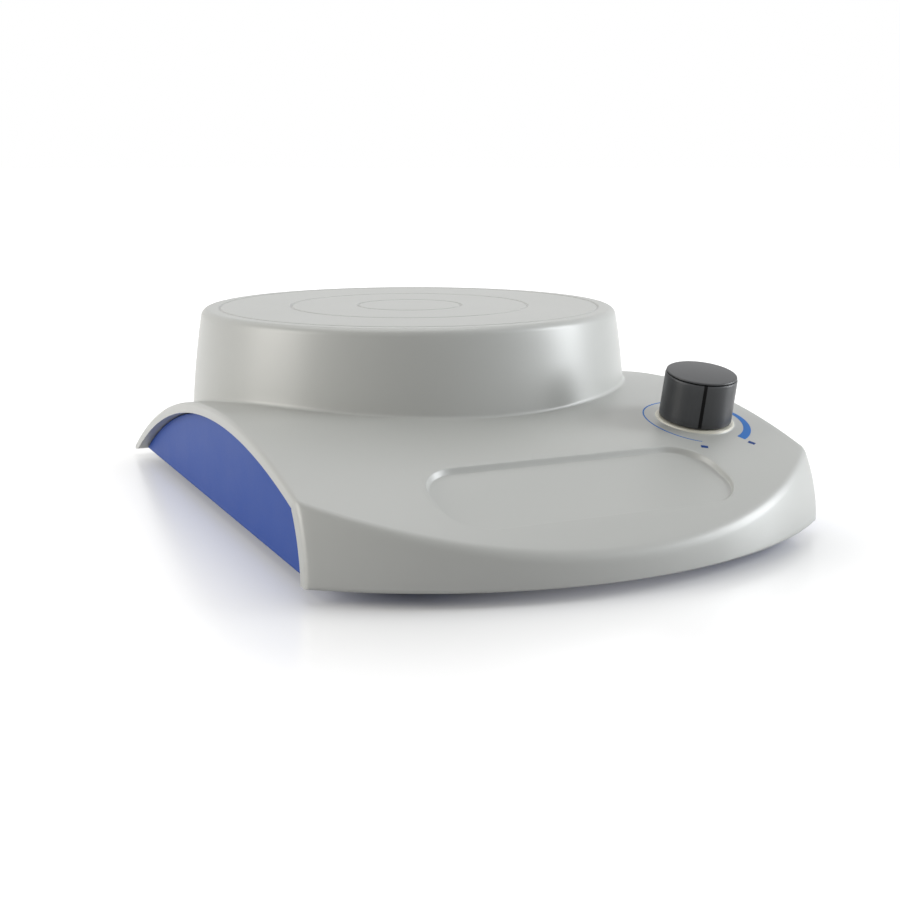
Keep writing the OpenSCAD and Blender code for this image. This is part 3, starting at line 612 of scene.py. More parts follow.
def growLabel(cover):
    def ringTo(fromShare, toShare):
        def place(where):
            x, y = labelPoint(where, fromShare, toShare)
            return x, y, crownZ(y)
        return place

    # flat rings on the crown, as for the boss, and a face over what is left
    weldBorder(cover, onLabelBorder, 0.00015)
    wall = labelSize["wall"]
    rings = [(ringTo(last[0], here[0]), here[1]) for last, here in zip(wall, wall[1:])]
    growRings(cover, rings, "recess")
    bpy.ops.object.mode_set(mode="EDIT")
    bpy.ops.mesh.edge_face_add()
    objectMode()


def weights(piece, group):
    index = piece.vertex_groups[group].index
    found = np.full(len(piece.data.vertices), -1.0)
    for vertex in piece.data.vertices:
        for entry in vertex.groups:
            if entry.group == index:
                found[vertex.index] = entry.weight
    return found


inletSize = {
    "z": 0.018,
    "floorY": 0.0981,         # floor of the pocket in the drum's rear wall
    "pocketRadius": 0.0075,
    "holeRadius": 0.0041,
    "holeStart": 0.090,
    "cutEnd": 0.108,
    "padDepth": 0.003,        # of the pad round the hole, inside the wall
    "padSink": 0.0004,
}


def cutInlet(cover):
    # a round pocket for the nut and the hole for the power inlet
    size = inletSize
    end = size["cutEnd"]
    for radius, start in ((size["pocketRadius"], size["floorY"]), (size["holeRadius"], size["holeStart"])):
        deselectAll()
        bpy.ops.mesh.primitive_cylinder_add(vertices=64, radius=radius, depth=end - start,
                                            location=(0, (end + start) / 2, size["z"]),
                                            rotation=(math.radians(90), 0, 0))
        cutter = named("inletCutter")
        applyModifier(cover, "BOOLEAN", operation="DIFFERENCE", solver="EXACT", object=cutter)
        bpy.data.objects.remove(cutter)


def finishCover(cover):
    # the wall: full on the case, a little less on the drum so that its rounded rim doesn't fold
    fixNormals(cover)
    places = points(cover)
    count = len(places)
    half = caseSize["width"] / 2
    sideBorder = [i for i, (x, y, z) in enumerate(places) if abs(x) > half - 1e-6]
    wall = cover.vertex_groups.new(name="wall")
    drum = [i for i, (x, y, z) in enumerate(places)
            if math.hypot(x, y - plateY) < plateSize["reach"] and z > crownZ(y) + plateSize["footFillet"] / 2]
    wall.add(list(range(count)), 1.0, "REPLACE")
    wall.add(drum, plateSize["wallShare"], "REPLACE")
    applyModifier(cover, "SOLIDIFY", thickness=caseSize["wall"], offset=-1, use_even_offset=False,
                  vertex_group="wall")
    places = points(cover)
    places[:, 2] = np.maximum(places[:, 2], lowEdgeZ(places[:, 1]))
    tipY = rearY - caseSize["tipLength"]
    tipZ = crownZ(tipY)
    for i in range(count):
        # inside the rear end the wall stops at a flat lower edge
        if places[i][1] > tipY + 1e-6:
            share = (tipZ - places[i][2]) / (tipZ - gap + caseSize["tipDrop"])
            places[count + i][1] = tipY - caseSize["tipWall"] + caseSize["tipLean"] * share
            places[count + i][2] = lowEdgeZ(places[count + i][1])
    for i in sideBorder:
        # the wall ends in the plane of the case's side, also where the front curves away from it
        x, y, z = places[count + i]
        if half - abs(x) > 1e-6:
            places[count + i][:2] = (math.copysign(half, x),
                                     frontAxisY - math.sqrt(x * x + (frontAxisY - y) ** 2 - half * half))
    setPoints(cover, places)

    # rounded lower and side edges of the outer skin
    mesh = cover.data

    def onEdge(where):
        x, y, z = where
        return abs(x) > half - 1e-5 or z < lowEdgeZ(y) + 1e-5

    faceNormals = {}
    for face in mesh.polygons:
        for key in face.edge_keys:
            faceNormals.setdefault(key, []).append(face.normal.copy())
    bevelWeights = np.zeros(len(mesh.edges))
    for edge in mesh.edges:
        normals = faceNormals.get(tuple(sorted(edge.vertices)), [])
        if len(normals) == 2 and normals[0].angle(normals[1], 0) > math.radians(caseSize["edgeAngle"]):
            if all(v < count and onEdge(places[v]) for v in edge.vertices):
                bevelWeights[edge.index] = 1
    layer = mesh.attributes.new("bevel_weight_edge", "FLOAT", "EDGE")
    layer.data.foreach_set("value", bevelWeights)
    applyModifier(cover, "BEVEL", width=caseSize["edgeRadius"], segments=4, limit_method="WEIGHT",
                  use_clamp_overlap=False)

    # relief of the outer skin: engraved rings, boss and recess
    places = points(cover)
    bossShare = weights(cover, "boss")
    recessShare = weights(cover, "recess")
    for i, (x, y, z) in enumerate(places):
        onCrown = y > frontY and abs(z - crownZ(y)) < 0.0004
        if recessShare[i] >= 0 and onCrown:
            places[i][2] = z + (min(labelFloorZ(y), z) - z) * recessShare[i]
        elif bossShare[i] >= 0 and onCrown:
            local = knobInverse @ Vector((x, y, z))
            flat = knobPlace @ Vector((local.x, local.y, knobSize["bossHeight"]))
            places[i] = tuple(Vector((x, y, z)).lerp(flat, bossShare[i]))
        elif z > plateSize["top"] - 1e-6:
            radius = math.hypot(x, y - plateY)
            for ringRadius in plateSize["rings"]:
                away = abs(radius - ringRadius) / plateSize["ringWidth"]
                if away < 0.45:
                    places[i][2] = z - plateSize["ringDepth"] * (1 if away < 0.2 else 0.75)
    setPoints(cover, places)
    cutInlet(cover)
    smooth(cover, 32)


growDrum(cover)
growBoss(cover)
growLabel(cover)
finishCover(cover)
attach(cover, "housing")
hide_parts("top_cover")
print("cover finished:", len(cover.data.vertices), "vertices")


# inside of the cover: posts for the case screws, and pads for the potentiometer and the inlet

postSize = {
    "places": ((-0.052, -0.0725), (0.052, -0.0725), (-0.060, 0.0845), (0.060, 0.0845)),
    "radius": 0.004,
    "holeRadius": 0.00152,
    "foot": 0.0059,
    "skin": 0.0027,          # plastic over the end of the hole, measured upright
    "sides": 48,
}
padSize = {
    "radius": 0.010,
    "seat": -0.0038,         # the potentiometer's seat, below the crown
    "sides": 64,
}


def buildInside():
    inWall = caseSize["wall"] / 2    # every part starts in the middle of the wall
    radius = postSize["radius"]
    pieces = []
    for number, (x, y) in enumerate(postSize["places"]):
        low = min(crownZ(y - radius), crownZ(y + radius))
        top = low + 0.001
        rings = [(postSize["holeRadius"], low - postSize["skin"]), (postSize["holeRadius"], postSize["foot"]),
                 (radius, postSize["foot"]), (radius, top)]
        post = turned("post" + str(number), rings, postSize["sides"])
        post.data.transform(Matrix.Translation((x, y, 0)))
        places = points(post)
        for place in places:
            if place[2] > top - 1e-5:
                place[2] = crownZ(place[1]) - inWall
        setPoints(post, places)
        pieces.append(post)
    hole, seat, radius = knobSize["holeRadius"], padSize["seat"], padSize["radius"]
    rings = [(hole, -inWall), (hole, seat), (radius, seat), (radius, -inWall)]
    knobPad = turnedTube("knobPad", rings, padSize["sides"])
    knobPad.data.transform(knobPlace)
    hole, radius, floorY = inletSize["holeRadius"], inletSize["pocketRadius"], inletSize["floorY"]
    high, low = floorY - inletSize["padSink"], floorY - inletSize["padDepth"]
    rings = [(hole, high), (hole, low), (radius, low), (radius, high)]
    inletPad = turnedTube("inletPad", rings, padSize["sides"])
    inletPad.data.transform(Matrix.Translation((0, 0, inletSize["z"])) @ Matrix.Rotation(math.radians(-90), 4, "X"))
    inside = joined(pieces + [knobPad, inletPad], "coverPosts")
    fixNormals(inside)
    smooth(inside, 40)
    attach(inside, "housing")
    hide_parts("top_cover")
    print("cover's inside finished")
    return inside


coverPosts = buildInside()


# speed knob: side, cap and pointer line

def buildKnob():
    size = knobSize
    foot = size["bossHeight"] + size["gap"]
    height, radius, topRadius = size["height"], size["radius"], size["topRadius"]
    top = foot + height
    footEdge, topEdge = size["footEdge"], size["topEdge"]
    taper = [(radius - (radius - topRadius) * i / 6, foot + height * i / 6) for i in range(1, 6)]
    side = [(r, foot + z) for r, z in size["hollow"]]
    side += arc((radius - footEdge, foot + footEdge), footEdge, -90, 0, 4)
    side += taper
    side += arc((topRadius - topEdge, top - topEdge), topEdge, 0, 90, 6)
    side += [(r, top + z) for r, z in size["well"]]
    side += [(size["shaftHole"][0], foot + size["shaftHole"][1])]
    knob = turnedTube("knobBody", side, size["sides"])
    smooth(knob, 40)

    # the cap: a spigot in the well, a seam, a rounded shoulder and a slight dome
    capRadius, shoulder, dome = size["capRadius"], size["capShoulder"], size["capDome"]
    capFoot, capTop = top + size["capSeam"], top + size["capHeight"]
    flat = capRadius - shoulder
    crown = [(r, top + z) for r, z in size["capSpigot"]]
    crown += [(size["capSpigot"][-1][0], capFoot), (capRadius - 0.0001, capFoot), (capRadius, capFoot + 0.0001)]
    crown += arc((flat, capTop - dome - shoulder), shoulder, 0, 84, 8)
    crown += [(flat * share, capTop - dome * share * share) for share in size["capRows"]]
    cap = turned("knobCap", crown, size["sides"])
    smooth(cap, 40)

    # the pointer: a thin inlaid strip up the side, over the upper edge to the seam
    lift = size["pointerLift"]
    path = [(radius + lift, foot + footEdge)] + [(r + lift, z) for r, z in taper]
    path += arc((topRadius - topEdge, top - topEdge), topEdge + lift, 0, 85, 5)
    deselectAll()
    bpy.ops.mesh.primitive_plane_add(size=1)
    pointer = named("knobPointer")
    places = points(pointer)
    order = np.argsort(places[:, 0] * 10 + places[:, 1])
    corners = [(x * size["pointerWidth"], -path[row][0], path[row][1]) for x in (-0.5, 0.5) for row in (0, 1)]
    for index, where in zip(order, corners):
        places[index] = where
    setPoints(pointer, places)
    editMode(pointer, "EDGE")
    objectMode()
    for (r, z), (nextR, nextZ) in zip(path[1:], path[2:]):
        places = points(pointer)
        selectBorder(pointer, (abs(places[:, 1] + r) < 1e-6) & (abs(places[:, 2] - z) < 1e-6))
        bpy.ops.object.mode_set(mode="EDIT")
        bpy.ops.mesh.extrude_region_move(TRANSFORM_OT_translate={"value": (0, r - nextR, nextZ - z)})
        objectMode()
    applyModifier(pointer, "SOLIDIFY", thickness=size["pointerDepth"], offset=-1)
    fixNormals(pointer)
    smooth(pointer, 40)
    pointer.data.transform(Matrix.Rotation(math.radians(-size["pointerAngle"]), 4, "Z"))
    for piece in (knob, cap, pointer):
        piece.data.transform(knobPlace)
    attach(knob, "knob")
    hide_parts("speed_knob")
    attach(cap, "knob")
    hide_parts("knob_cap")
    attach(pointer, "knob")
    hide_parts("knob_pointer")
    print("knob finished")
    return knob, cap, pointer


knob, knobCap, knobPointer = buildKnob()


# printed dial round the knob: an arc that swells clockwise, and two end marks

dialSize = {
    "centre": (0.0513, -0.0498),
    "radii": (0.0141, 0.0151),
    # angle seen from above, inner and outer edge as shares of the radii
    "stops": ((-65, 0.890, 1.052), (-30, 0.912, 1.050), (0, 0.938, 1.045), (50, 0.966, 1.026), (100, 0.985, 1.014),
              (200, 0.986, 1.013), (241, 0.992, 1.008)),
    "lift": 0.00004,
    "depth": 0.00012,
    "steps": 120,
    # middle of each mark and its direction
    "marks": (((0.04325, -0.0658), (0.899, -0.438)), ((0.0582, -0.0663), (0.54, -0.84))),
    "markLength": 0.0019,
    "markWidth": 0.0013,
}


def buildDial():
    size = dialSize
    cx, cy = size["centre"]
    angles, inner, outer = zip(*size["stops"])
    deselectAll()
    bpy.ops.mesh.primitive_grid_add(x_subdivisions=size["steps"], y_subdivisions=4, size=1)
    dial = named("dialArc")
    places = points(dial)
    for index, (u, v, _) in enumerate(places.copy()):
        angle = angles[-1] + (angles[0] - angles[-1]) * (u + 0.5)
        low, high = np.interp(angle, angles, inner), np.interp(angle, angles, outer)
        share = low + (high - low) * (v + 0.5)
        x = cx + share * size["radii"][0] * math.cos(math.radians(angle))
        y = cy + share * size["radii"][1] * math.sin(math.radians(angle))
        places[index] = (x, y, crownZ(y) + size["lift"])
    setPoints(dial, places)
    marks = []
    for number, (middle, along) in enumerate(size["marks"]):
        deselectAll()
        bpy.ops.mesh.primitive_grid_add(x_subdivisions=4, y_subdivisions=2, size=1)
        mark = named("dialMark" + str(number))
        along = Vector(along).normalized()
        across = Vector((-along.y, along.x))
        places = points(mark)
        for index, (u, v, _) in enumerate(places.copy()):
            spot = Vector(middle) + along * u * size["markLength"] + across * v * size["markWidth"]
            places[index] = (spot.x, spot.y, crownZ(spot.y) + size["lift"])
        setPoints(mark, places)
        marks.append(mark)
    for piece in (dial, joined(marks, "dialMarks")):
        applyModifier(piece, "SOLIDIFY", thickness=size["depth"], offset=-1)
        fixNormals(piece)
        smooth(piece, 40)
        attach(piece, "housing")
    print("dial finished")
    return dial, marks[0]


dialArc, dialMarks = buildDial()


# materials: shared effects are groups, each material places them with its own values

def nodeGroup(name, inputs, outputs):
    group = bpy.data.node_groups.new(name, "ShaderNodeTree")
    for label, kind, value in inputs:
        socket = group.interface.new_socket(name=label, in_out="INPUT", socket_type=kind)
        socket.default_value = value
    for label, kind in outputs:
        group.interface.new_socket(name=label, in_out="OUTPUT", socket_type=kind)
    return group, group.nodes.new("NodeGroupInput"), group.nodes.new("NodeGroupOutput")


def feed(tree, socket, value):
    # another node's output is linked to the socket, and a plain value is set on it
    if hasattr(value, "links"):
        tree.links.new(value, socket)
    else:
        socket.default_value = value


def mathNode(tree, operation, a, b, clamp=False):
    node = tree.nodes.new("ShaderNodeMath")
    node.operation = operation
    node.use_clamp = clamp
    feed(tree, node.inputs[0], a)
    feed(tree, node.inputs[1], b)
    return node.outputs[0]


def vectorNode(tree, operation, a, b=None):
    node = tree.nodes.new("ShaderNodeVectorMath")
    node.operation = operation
    feed(tree, node.inputs[0], a)
    if b is not None:
        feed(tree, node.inputs["Scale" if operation == "SCALE" else 1], b)
    return node.outputs["Value" if operation in ("LENGTH", "DOT_PRODUCT") else "Vector"]


def noiseNode(tree, coordinates, scale, detail, roughness):
    node = tree.nodes.new("ShaderNodeTexNoise")
    node.inputs["Detail"].default_value = detail
    node.inputs["Roughness"].default_value = roughness
    feed(tree, node.inputs["Vector"], coordinates)
    feed(tree, node.inputs["Scale"], scale)
    return node.outputs["Fac"]


def makeGrainGroup():
    # fine spark-eroded grain of a moulded part: Height for a bump, Mask for tone and roughness
    group, inside, outside = nodeGroup(
        "mouldedGrain",
        [("Vector", "NodeSocketVector", (0, 0, 0)), ("Scale", "NodeSocketFloat", 2200.0),
         ("Pits", "NodeSocketFloat", 0.4)],
        [("Height", "NodeSocketFloat"), ("Mask", "NodeSocketFloat")])
    fine = noiseNode(group, inside.outputs["Vector"], inside.outputs["Scale"], 4.0, 0.6)
    cells = group.nodes.new("ShaderNodeTexVoronoi")
    cells.feature = "SMOOTH_F1"
    group.links.new(inside.outputs["Vector"], cells.inputs["Vector"])
    group.links.new(inside.outputs["Scale"], cells.inputs["Scale"])
    pits = mathNode(group, "MULTIPLY", cells.outputs["Distance"], inside.outputs["Pits"])
    group.links.new(mathNode(group, "ADD", fine, pits), outside.inputs["Height"])
    soft = mathNode(group, "SUBTRACT", fine, 0.35)
    group.links.new(mathNode(group, "MULTIPLY", soft, 2.0, clamp=True), outside.inputs["Mask"])
    return group


def makeToneGroup():
    # slow drift of colour, as in pigmented plastic or handled metal
    group, inside, outside = nodeGroup(
        "slowTone",
        [("Vector", "NodeSocketVector", (0, 0, 0)), ("Color", "NodeSocketColor", (0.5, 0.5, 0.5, 1)),
         ("Drift", "NodeSocketFloat", 0.06), ("Scale", "NodeSocketFloat", 30.0)],
        [("Color", "NodeSocketColor")])
    broad = noiseNode(group, inside.outputs["Vector"], inside.outputs["Scale"], 2.0, 0.5)
    centred = mathNode(group, "SUBTRACT", broad, 0.5)
    factor = mathNode(group, "ADD", mathNode(group, "MULTIPLY", centred, inside.outputs["Drift"]), 1.0)
    group.links.new(vectorNode(group, "SCALE", inside.outputs["Color"], factor), outside.inputs["Color"])
    return group


def makeRoughGroup():
    # roughness that varies with handling marks and the grain
    group, inside, outside = nodeGroup(
        "handledRoughness",
        [("Vector", "NodeSocketVector", (0, 0, 0)), ("Roughness", "NodeSocketFloat", 0.4),
         ("Spread", "NodeSocketFloat", 0.08), ("Scale", "NodeSocketFloat", 60.0), ("Grain", "NodeSocketFloat", 0.5)],
        [("Roughness", "NodeSocketFloat")])
    smear = noiseNode(group, inside.outputs["Vector"], inside.outputs["Scale"], 5.0, 0.65)
    both = mathNode(group, "ADD", mathNode(group, "MULTIPLY", smear, 0.7),
                    mathNode(group, "MULTIPLY", inside.outputs["Grain"], 0.3))
    centred = mathNode(group, "SUBTRACT", both, 0.5)
    value = mathNode(group, "ADD", mathNode(group, "MULTIPLY", centred, inside.outputs["Spread"]),
                     inside.outputs["Roughness"], clamp=True)
    group.links.new(value, outside.inputs["Roughness"])
    return group


grainGroup = makeGrainGroup()
toneGroup = makeToneGroup()
roughGroup = makeRoughGroup()


def placeGroup(tree, group, **values):
    node = tree.nodes.new("ShaderNodeGroup")
    node.node_tree = group
    for name, value in values.items():
        feed(tree, node.inputs[name], value)
    return node


def finish(name, color, roughness, spread, drift, toneScale, grainScale, pits, bump,
           depth=0.00002, metallic=0.0, specular=0.5, edge=0.0003):
    # one material: tone, grain and roughness from the shared groups
    material = bpy.data.materials.new(name)
    material.use_nodes = True
    tree = material.node_tree
    shader = tree.nodes["Principled BSDF"]
    coordinates = tree.nodes.new("ShaderNodeTexCoord").outputs["Object"]
    tone = placeGroup(tree, toneGroup, Vector=coordinates, Color=(*color, 1), Drift=drift, Scale=toneScale)
    grain = placeGroup(tree, grainGroup, Vector=coordinates, Scale=grainScale, Pits=pits)
    rough = placeGroup(tree, roughGroup, Vector=coordinates, Roughness=roughness, Spread=spread,
                       Grain=grain.outputs["Mask"])
    tree.links.new(tone.outputs["Color"], shader.inputs["Base Color"])
    tree.links.new(rough.outputs["Roughness"], shader.inputs["Roughness"])
    bumpNode = tree.nodes.new("ShaderNodeBump")
    bumpNode.inputs["Strength"].default_value = bump
    bumpNode.inputs["Distance"].default_value = depth
    tree.links.new(grain.outputs["Height"], bumpNode.inputs["Height"])
    if edge > 0:
        # the solids' edges are sharp: this rounds them for the light
        rounded = tree.nodes.new("ShaderNodeBevel")
        rounded.samples = 4
        rounded.inputs["Radius"].default_value = edge
        tree.links.new(rounded.outputs["Normal"], bumpNode.inputs["Normal"])
    tree.links.new(bumpNode.outputs["Normal"], shader.inputs["Normal"])
    shader.inputs["Metallic"].default_value = metallic
    shader.inputs["Specular IOR Level"].default_value = specular
    return material


def dress(piece, material):
    if isinstance(piece, str):
        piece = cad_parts[piece]
    piece.data.materials.clear()
    piece.data.materials.append(material)


# name, color, roughness and its spread, drift of the tone, tone scale, grain scale, pits, bump, depth of the bump
coverPlastic = finish("warmGreyPlastic", (0.448, 0.455, 0.435), 0.37, 0.1, 0.035, 18.0, 2600.0, 0.5, 0.22, 0.00002,
                      specular=0.85, edge=0)
ringPlastic = finish("creamRingPlastic", (0.66, 0.64, 0.55), 0.35, 0.1, 0.04, 40.0, 2600.0, 0.4, 0.15, edge=0)
trayPlastic = finish("blueTrayPlastic", (0.006, 0.055, 0.31), 0.45, 0.12, 0.08, 25.0, 2400.0, 0.5, 0.2,
                     specular=0.15, edge=0.0008)
knobPlastic = finish("charcoalKnobPlastic", (0.032, 0.034, 0.037), 0.38, 0.12, 0.10, 60.0, 3000.0, 0.6, 0.25, edge=0)
pointerInk = finish("pointerInk", (0.002, 0.002, 0.002), 0.55, 0.1, 0.1, 60.0, 3000.0, 0.3, 0.1, specular=0.12, edge=0)
dialInk = finish("blueDialInk", (0.018, 0.16, 0.52), 0.5, 0.1, 0.08, 120.0, 3500.0, 0.4, 0.2, specular=0.2, edge=0)
markInk = finish("darkBlueInk", (0.008, 0.045, 0.20), 0.5, 0.1, 0.08, 120.0, 3500.0, 0.4, 0.2, specular=0.2, edge=0)
footRubber = finish("blackFootRubber", (0.018, 0.018, 0.019), 0.75, 0.15, 0.15, 80.0, 1800.0, 0.8, 0.4, 0.00004,
                    specular=0.3, edge=0.0006)
steel = finish("platedSteel", (0.50, 0.51, 0.52), 0.32, 0.15, 0.06, 60.0, 2600.0, 0.3, 0.12, metallic=1.0)
brightSteel = finish("groundSteel", (0.62, 0.62, 0.63), 0.22, 0.12, 0.04, 80.0, 3400.0, 0.2, 0.08, metallic=1.0)
sheetSteel = finish("zincSheet", (0.45, 0.46, 0.47), 0.38, 0.2, 0.18, 140.0, 1600.0, 0.6, 0.15, metallic=1.0)
aluminium = finish("turnedAluminium", (0.62, 0.63, 0.64), 0.30, 0.12, 0.05, 90.0, 3000.0, 0.3, 0.1, metallic=1.0)
bronze = finish("sinteredBronze", (0.42, 0.28, 0.13), 0.45, 0.15, 0.15, 120.0, 2800.0, 0.9, 0.3, metallic=1.0)
brass = finish("contactBrass", (0.60, 0.44, 0.18), 0.28, 0.12, 0.08, 90.0, 3000.0, 0.3, 0.1, metallic=1.0)
ferrite = finish("pressedFerrite", (0.045, 0.045, 0.048), 0.6, 0.15, 0.15, 110.0, 2600.0, 0.9, 0.35)
copper = finish("enamelledCopper", (0.42, 0.16, 0.06), 0.30, 0.15, 0.15, 160.0, 1500.0, 0.9, 0.4, metallic=0.8)
nylon = finish("naturalNylon", (0.72, 0.70, 0.62), 0.5, 0.1, 0.05, 40.0, 2200.0, 0.4, 0.2)
connectorNylon = finish("connectorNylon", (0.80, 0.78, 0.70), 0.45, 0.1, 0.05, 60.0, 2600.0, 0.4, 0.2)
laminate = finish("greenLaminate", (0.012, 0.10, 0.045), 0.32, 0.1, 0.2, 220.0, 900.0, 0.5, 0.2)
blackPlastic = finish("blackMouldedPlastic", (0.014, 0.014, 0.015), 0.42, 0.12, 0.12, 60.0, 2800.0, 0.5, 0.25)
sleeveFilm = finish("capacitorSleeve", (0.018, 0.024, 0.09), 0.30, 0.1, 0.1, 90.0, 2200.0, 0.2, 0.08)
anodised = finish("blackAnodisedSink", (0.055, 0.058, 0.062), 0.38, 0.12, 0.1, 90.0, 2800.0, 0.4, 0.15, metallic=0.9)
redSleeve = finish("redInsulation", (0.42, 0.020, 0.012), 0.42, 0.1, 0.08, 90.0, 2000.0, 0.3, 0.15)
blackSleeve = finish("blackInsulation", (0.012, 0.012, 0.013), 0.42, 0.1, 0.08, 90.0, 2000.0, 0.3, 0.15)
yellowSleeve = finish("yellowInsulation", (0.60, 0.42, 0.03), 0.42, 0.1, 0.08, 90.0, 2000.0, 0.3, 0.15)

dress(cover, coverPlastic)
cover.data.materials.append(ringPlastic)
ringShare = weights(cover, "boss")
for face in cover.data.polygons:
    if all(ringShare[vertex] > 0.15 for vertex in face.vertices):
        face.material_index = 1
dress(coverPosts, coverPlastic)
dress(knob, knobPlastic)
dress(knobCap, knobPlastic)
dress(knobPointer, pointerInk)
dress(dialArc, dialInk)
dress(dialMarks, markInk)
nodeFinish = {
    "base_tray": trayPlastic, "rubber_feet": footRubber, "case_screws": steel, "motor_can": sheetSteel,
    "motor_end_cap": blackPlastic, "motor_terminals": brass, "field_magnets": ferrite, "motor_bushes": bronze,
    "armature": copper, "motor_shaft": brightSteel, "motor_bracket": sheetSteel, "motor_screws": steel,
    "bracket_screws": steel, "rotor_hub": aluminium, "grub_screw": steel, "magnet_yoke": sheetSteel,
    "magnet_cage": nylon, "drive_magnets": ferrite, "cage_screws": steel, "control_board": laminate,
    "board_screws": steel, "microcontroller": blackPlastic, "smoothing_capacitor": sleeveFilm,
    "voltage_regulator": blackPlastic, "heat_sink": anodised, "lead_connectors": connectorNylon,
    "potentiometer": steel, "potentiometer_shaft": brightSteel, "potentiometer_washer": steel,
    "potentiometer_nut": brass, "power_inlet": blackPlastic, "inlet_pin": brass, "inlet_nut": steel,
    "motor_leads": redSleeve, "inlet_leads": blackSleeve, "dial_leads": yellowSleeve,
}
for nodeName, material in nodeFinish.items():
    dress(nodeName, material)
print("materials placed:", len(bpy.data.materials))


# floor, background, lamps and camera

stageSize = {
    "floor": 40.0,
    "core": (0.044, 0.074, 0.0),     # half sizes of the ground that keeps its full shade
    "fade": (0.0, 0.085),            # distance from there over which the floor turns white
    "floorShade": (0.70, 0.70, 0.71, 1),
    "floorSeen": (0.93, 0.93, 0.93, 1),
    "floorRoughness": 0.25,
    "floorSpecular": 0.4,
    "ambient": 0.29,
    "ambientFall": 0.15,             # the ambient light is weaker from the front, as in a room with side windows
    "front": (-0.42, -0.907, 0.0),
}
lampSize = {
    # place, where it points, width and height, power, color
    "leftSoftbox": ((-0.80, 0.12, 0.30), (0, 0.03, 0.03), (0.5, 0.55), 3.8, (1.0, 0.975, 0.925)),
    "rightSoftbox": ((0.745, -0.30, 0.28), (0, 0.03, 0.03), (0.28, 0.5), 4.4, (0.945, 0.975, 1.0)),
    "rightFill": ((0.80, -0.38, 0.33), (0, 0.03, 0.03), (1.05, 1.0), 2.3, (0.945, 0.975, 1.0)),
    "topSoftbox": ((0.0, 0.25, 0.95), (0, 0.0, 0.03), (0.9, 0.9), 2.85, (1.0, 1.0, 1.0)),
}
cameraSize = {
    "place": (-0.16659, -0.35714, 0.09818),
    "tilt": 78.027,
    "turn": -24.913,
    "lens": 54.284,
    "sensor": 36,
    "clip": (0.01, 20),
}


def whiteRays(tree):
    # rays that show the white background: those of the view, and reflections and glass
    rays = tree.nodes.new("ShaderNodeLightPath")
    either = mathNode(tree, "MAXIMUM", rays.outputs["Is Camera Ray"], rays.outputs["Is Transmission Ray"])
    return mathNode(tree, "MAXIMUM", either, rays.outputs["Is Glossy Ray"])


def mixColors(tree, share, a, b):
    node = tree.nodes.new("ShaderNodeMix")
    node.data_type = "RGBA"
    for socket, value in ((0, share), (6, a), (7, b)):    # the node's color sockets are the last two
        feed(tree, node.inputs[socket], value)
    return node.outputs[2]


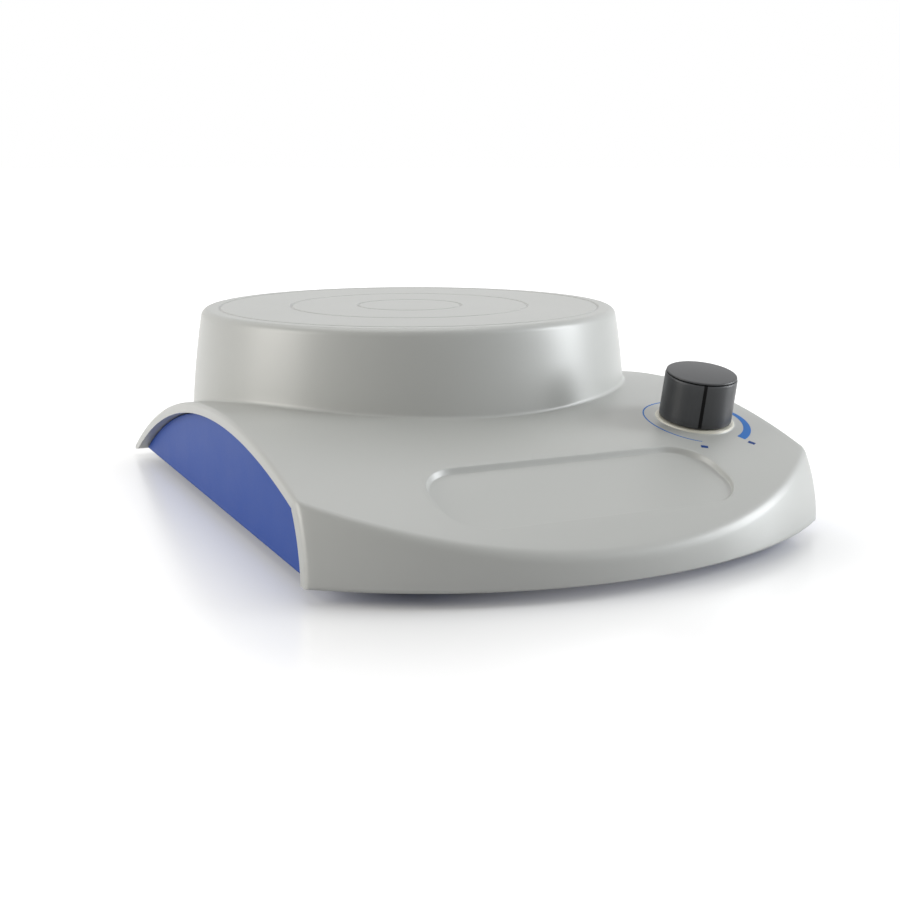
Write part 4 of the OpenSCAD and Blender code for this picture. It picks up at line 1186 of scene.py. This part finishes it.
def buildFloor():
    size = stageSize
    deselectAll()
    bpy.ops.mesh.primitive_plane_add(size=size["floor"], location=(0, 0, 0))
    floor = named("studioFloor")
    material = bpy.data.materials.new("paleFloor")
    material.use_nodes = True
    tree = material.node_tree
    shader = tree.nodes["Principled BSDF"]
    seen = whiteRays(tree)
    # the seen floor is pale under the object, and turns into plain white away from it
    coordinates = tree.nodes.new("ShaderNodeTexCoord").outputs["Object"]
    outside = vectorNode(tree, "SUBTRACT", vectorNode(tree, "ABSOLUTE", coordinates), size["core"])
    away = vectorNode(tree, "LENGTH", vectorNode(tree, "MAXIMUM", outside, (0, 0, 0)))
    fade = tree.nodes.new("ShaderNodeMapRange")
    fade.interpolation_type = "SMOOTHSTEP"
    tree.links.new(away, fade.inputs["Value"])
    fade.inputs["From Min"].default_value, fade.inputs["From Max"].default_value = size["fade"]
    near = mixColors(tree, fade.outputs["Result"], size["floorSeen"], (0, 0, 0, 1))
    tree.links.new(mixColors(tree, seen, size["floorShade"], near), shader.inputs["Base Color"])
    shader.inputs["Roughness"].default_value = size["floorRoughness"]
    shader.inputs["Specular IOR Level"].default_value = size["floorSpecular"]
    shader.inputs["Emission Color"].default_value = (1, 1, 1, 1)
    tree.links.new(mathNode(tree, "MULTIPLY", seen, fade.outputs["Result"]), shader.inputs["Emission Strength"])
    dress(floor, material)


def buildWorld():
    size = stageSize
    world = bpy.data.worlds.new("studioWorld")
    bpy.context.scene.world = world
    world.use_nodes = True
    tree = world.node_tree
    tree.nodes.clear()
    ambient = tree.nodes.new("ShaderNodeBackground")
    ambient.inputs["Color"].default_value = (1, 1, 1, 1)
    direction = tree.nodes.new("ShaderNodeTexCoord").outputs["Generated"]
    facing = vectorNode(tree, "DOT_PRODUCT", direction, size["front"])
    strength = mathNode(tree, "ADD", mathNode(tree, "MULTIPLY", facing, -size["ambientFall"]), size["ambient"])
    tree.links.new(strength, ambient.inputs["Strength"])
    white = tree.nodes.new("ShaderNodeBackground")
    white.inputs["Color"].default_value = (1, 1, 1, 1)
    white.inputs["Strength"].default_value = 1.0
    mix = tree.nodes.new("ShaderNodeMixShader")
    for socket, output in zip(mix.inputs, (whiteRays(tree), ambient.outputs[0], white.outputs[0])):
        tree.links.new(output, socket)
    tree.links.new(mix.outputs[0], tree.nodes.new("ShaderNodeOutputWorld").inputs[0])


def softLight(name, spot, target, size, power, color):
    deselectAll()
    bpy.ops.object.light_add(type="AREA", location=spot)
    light = bpy.context.object
    light.name = name
    light.data.shape = "RECTANGLE"
    light.data.size, light.data.size_y = size
    light.data.energy = power
    light.data.color = color
    light.rotation_euler = (Vector(target) - Vector(spot)).to_track_quat("-Z", "Y").to_euler()


def buildCamera():
    size = cameraSize
    deselectAll()
    bpy.ops.object.camera_add(location=size["place"],
                              rotation=(math.radians(size["tilt"]), 0, math.radians(size["turn"])))
    camera = bpy.context.object
    camera.name = "studioCamera"
    camera.data.lens = size["lens"]
    camera.data.sensor_width = size["sensor"]
    camera.data.clip_start, camera.data.clip_end = size["clip"]
    bpy.context.scene.camera = camera


buildFloor()
buildWorld()
for lampName, values in lampSize.items():
    softLight(lampName, *values)
buildCamera()
bpy.context.scene.view_settings.view_transform = "Standard"
print("stage set")

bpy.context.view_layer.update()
deselectAll()
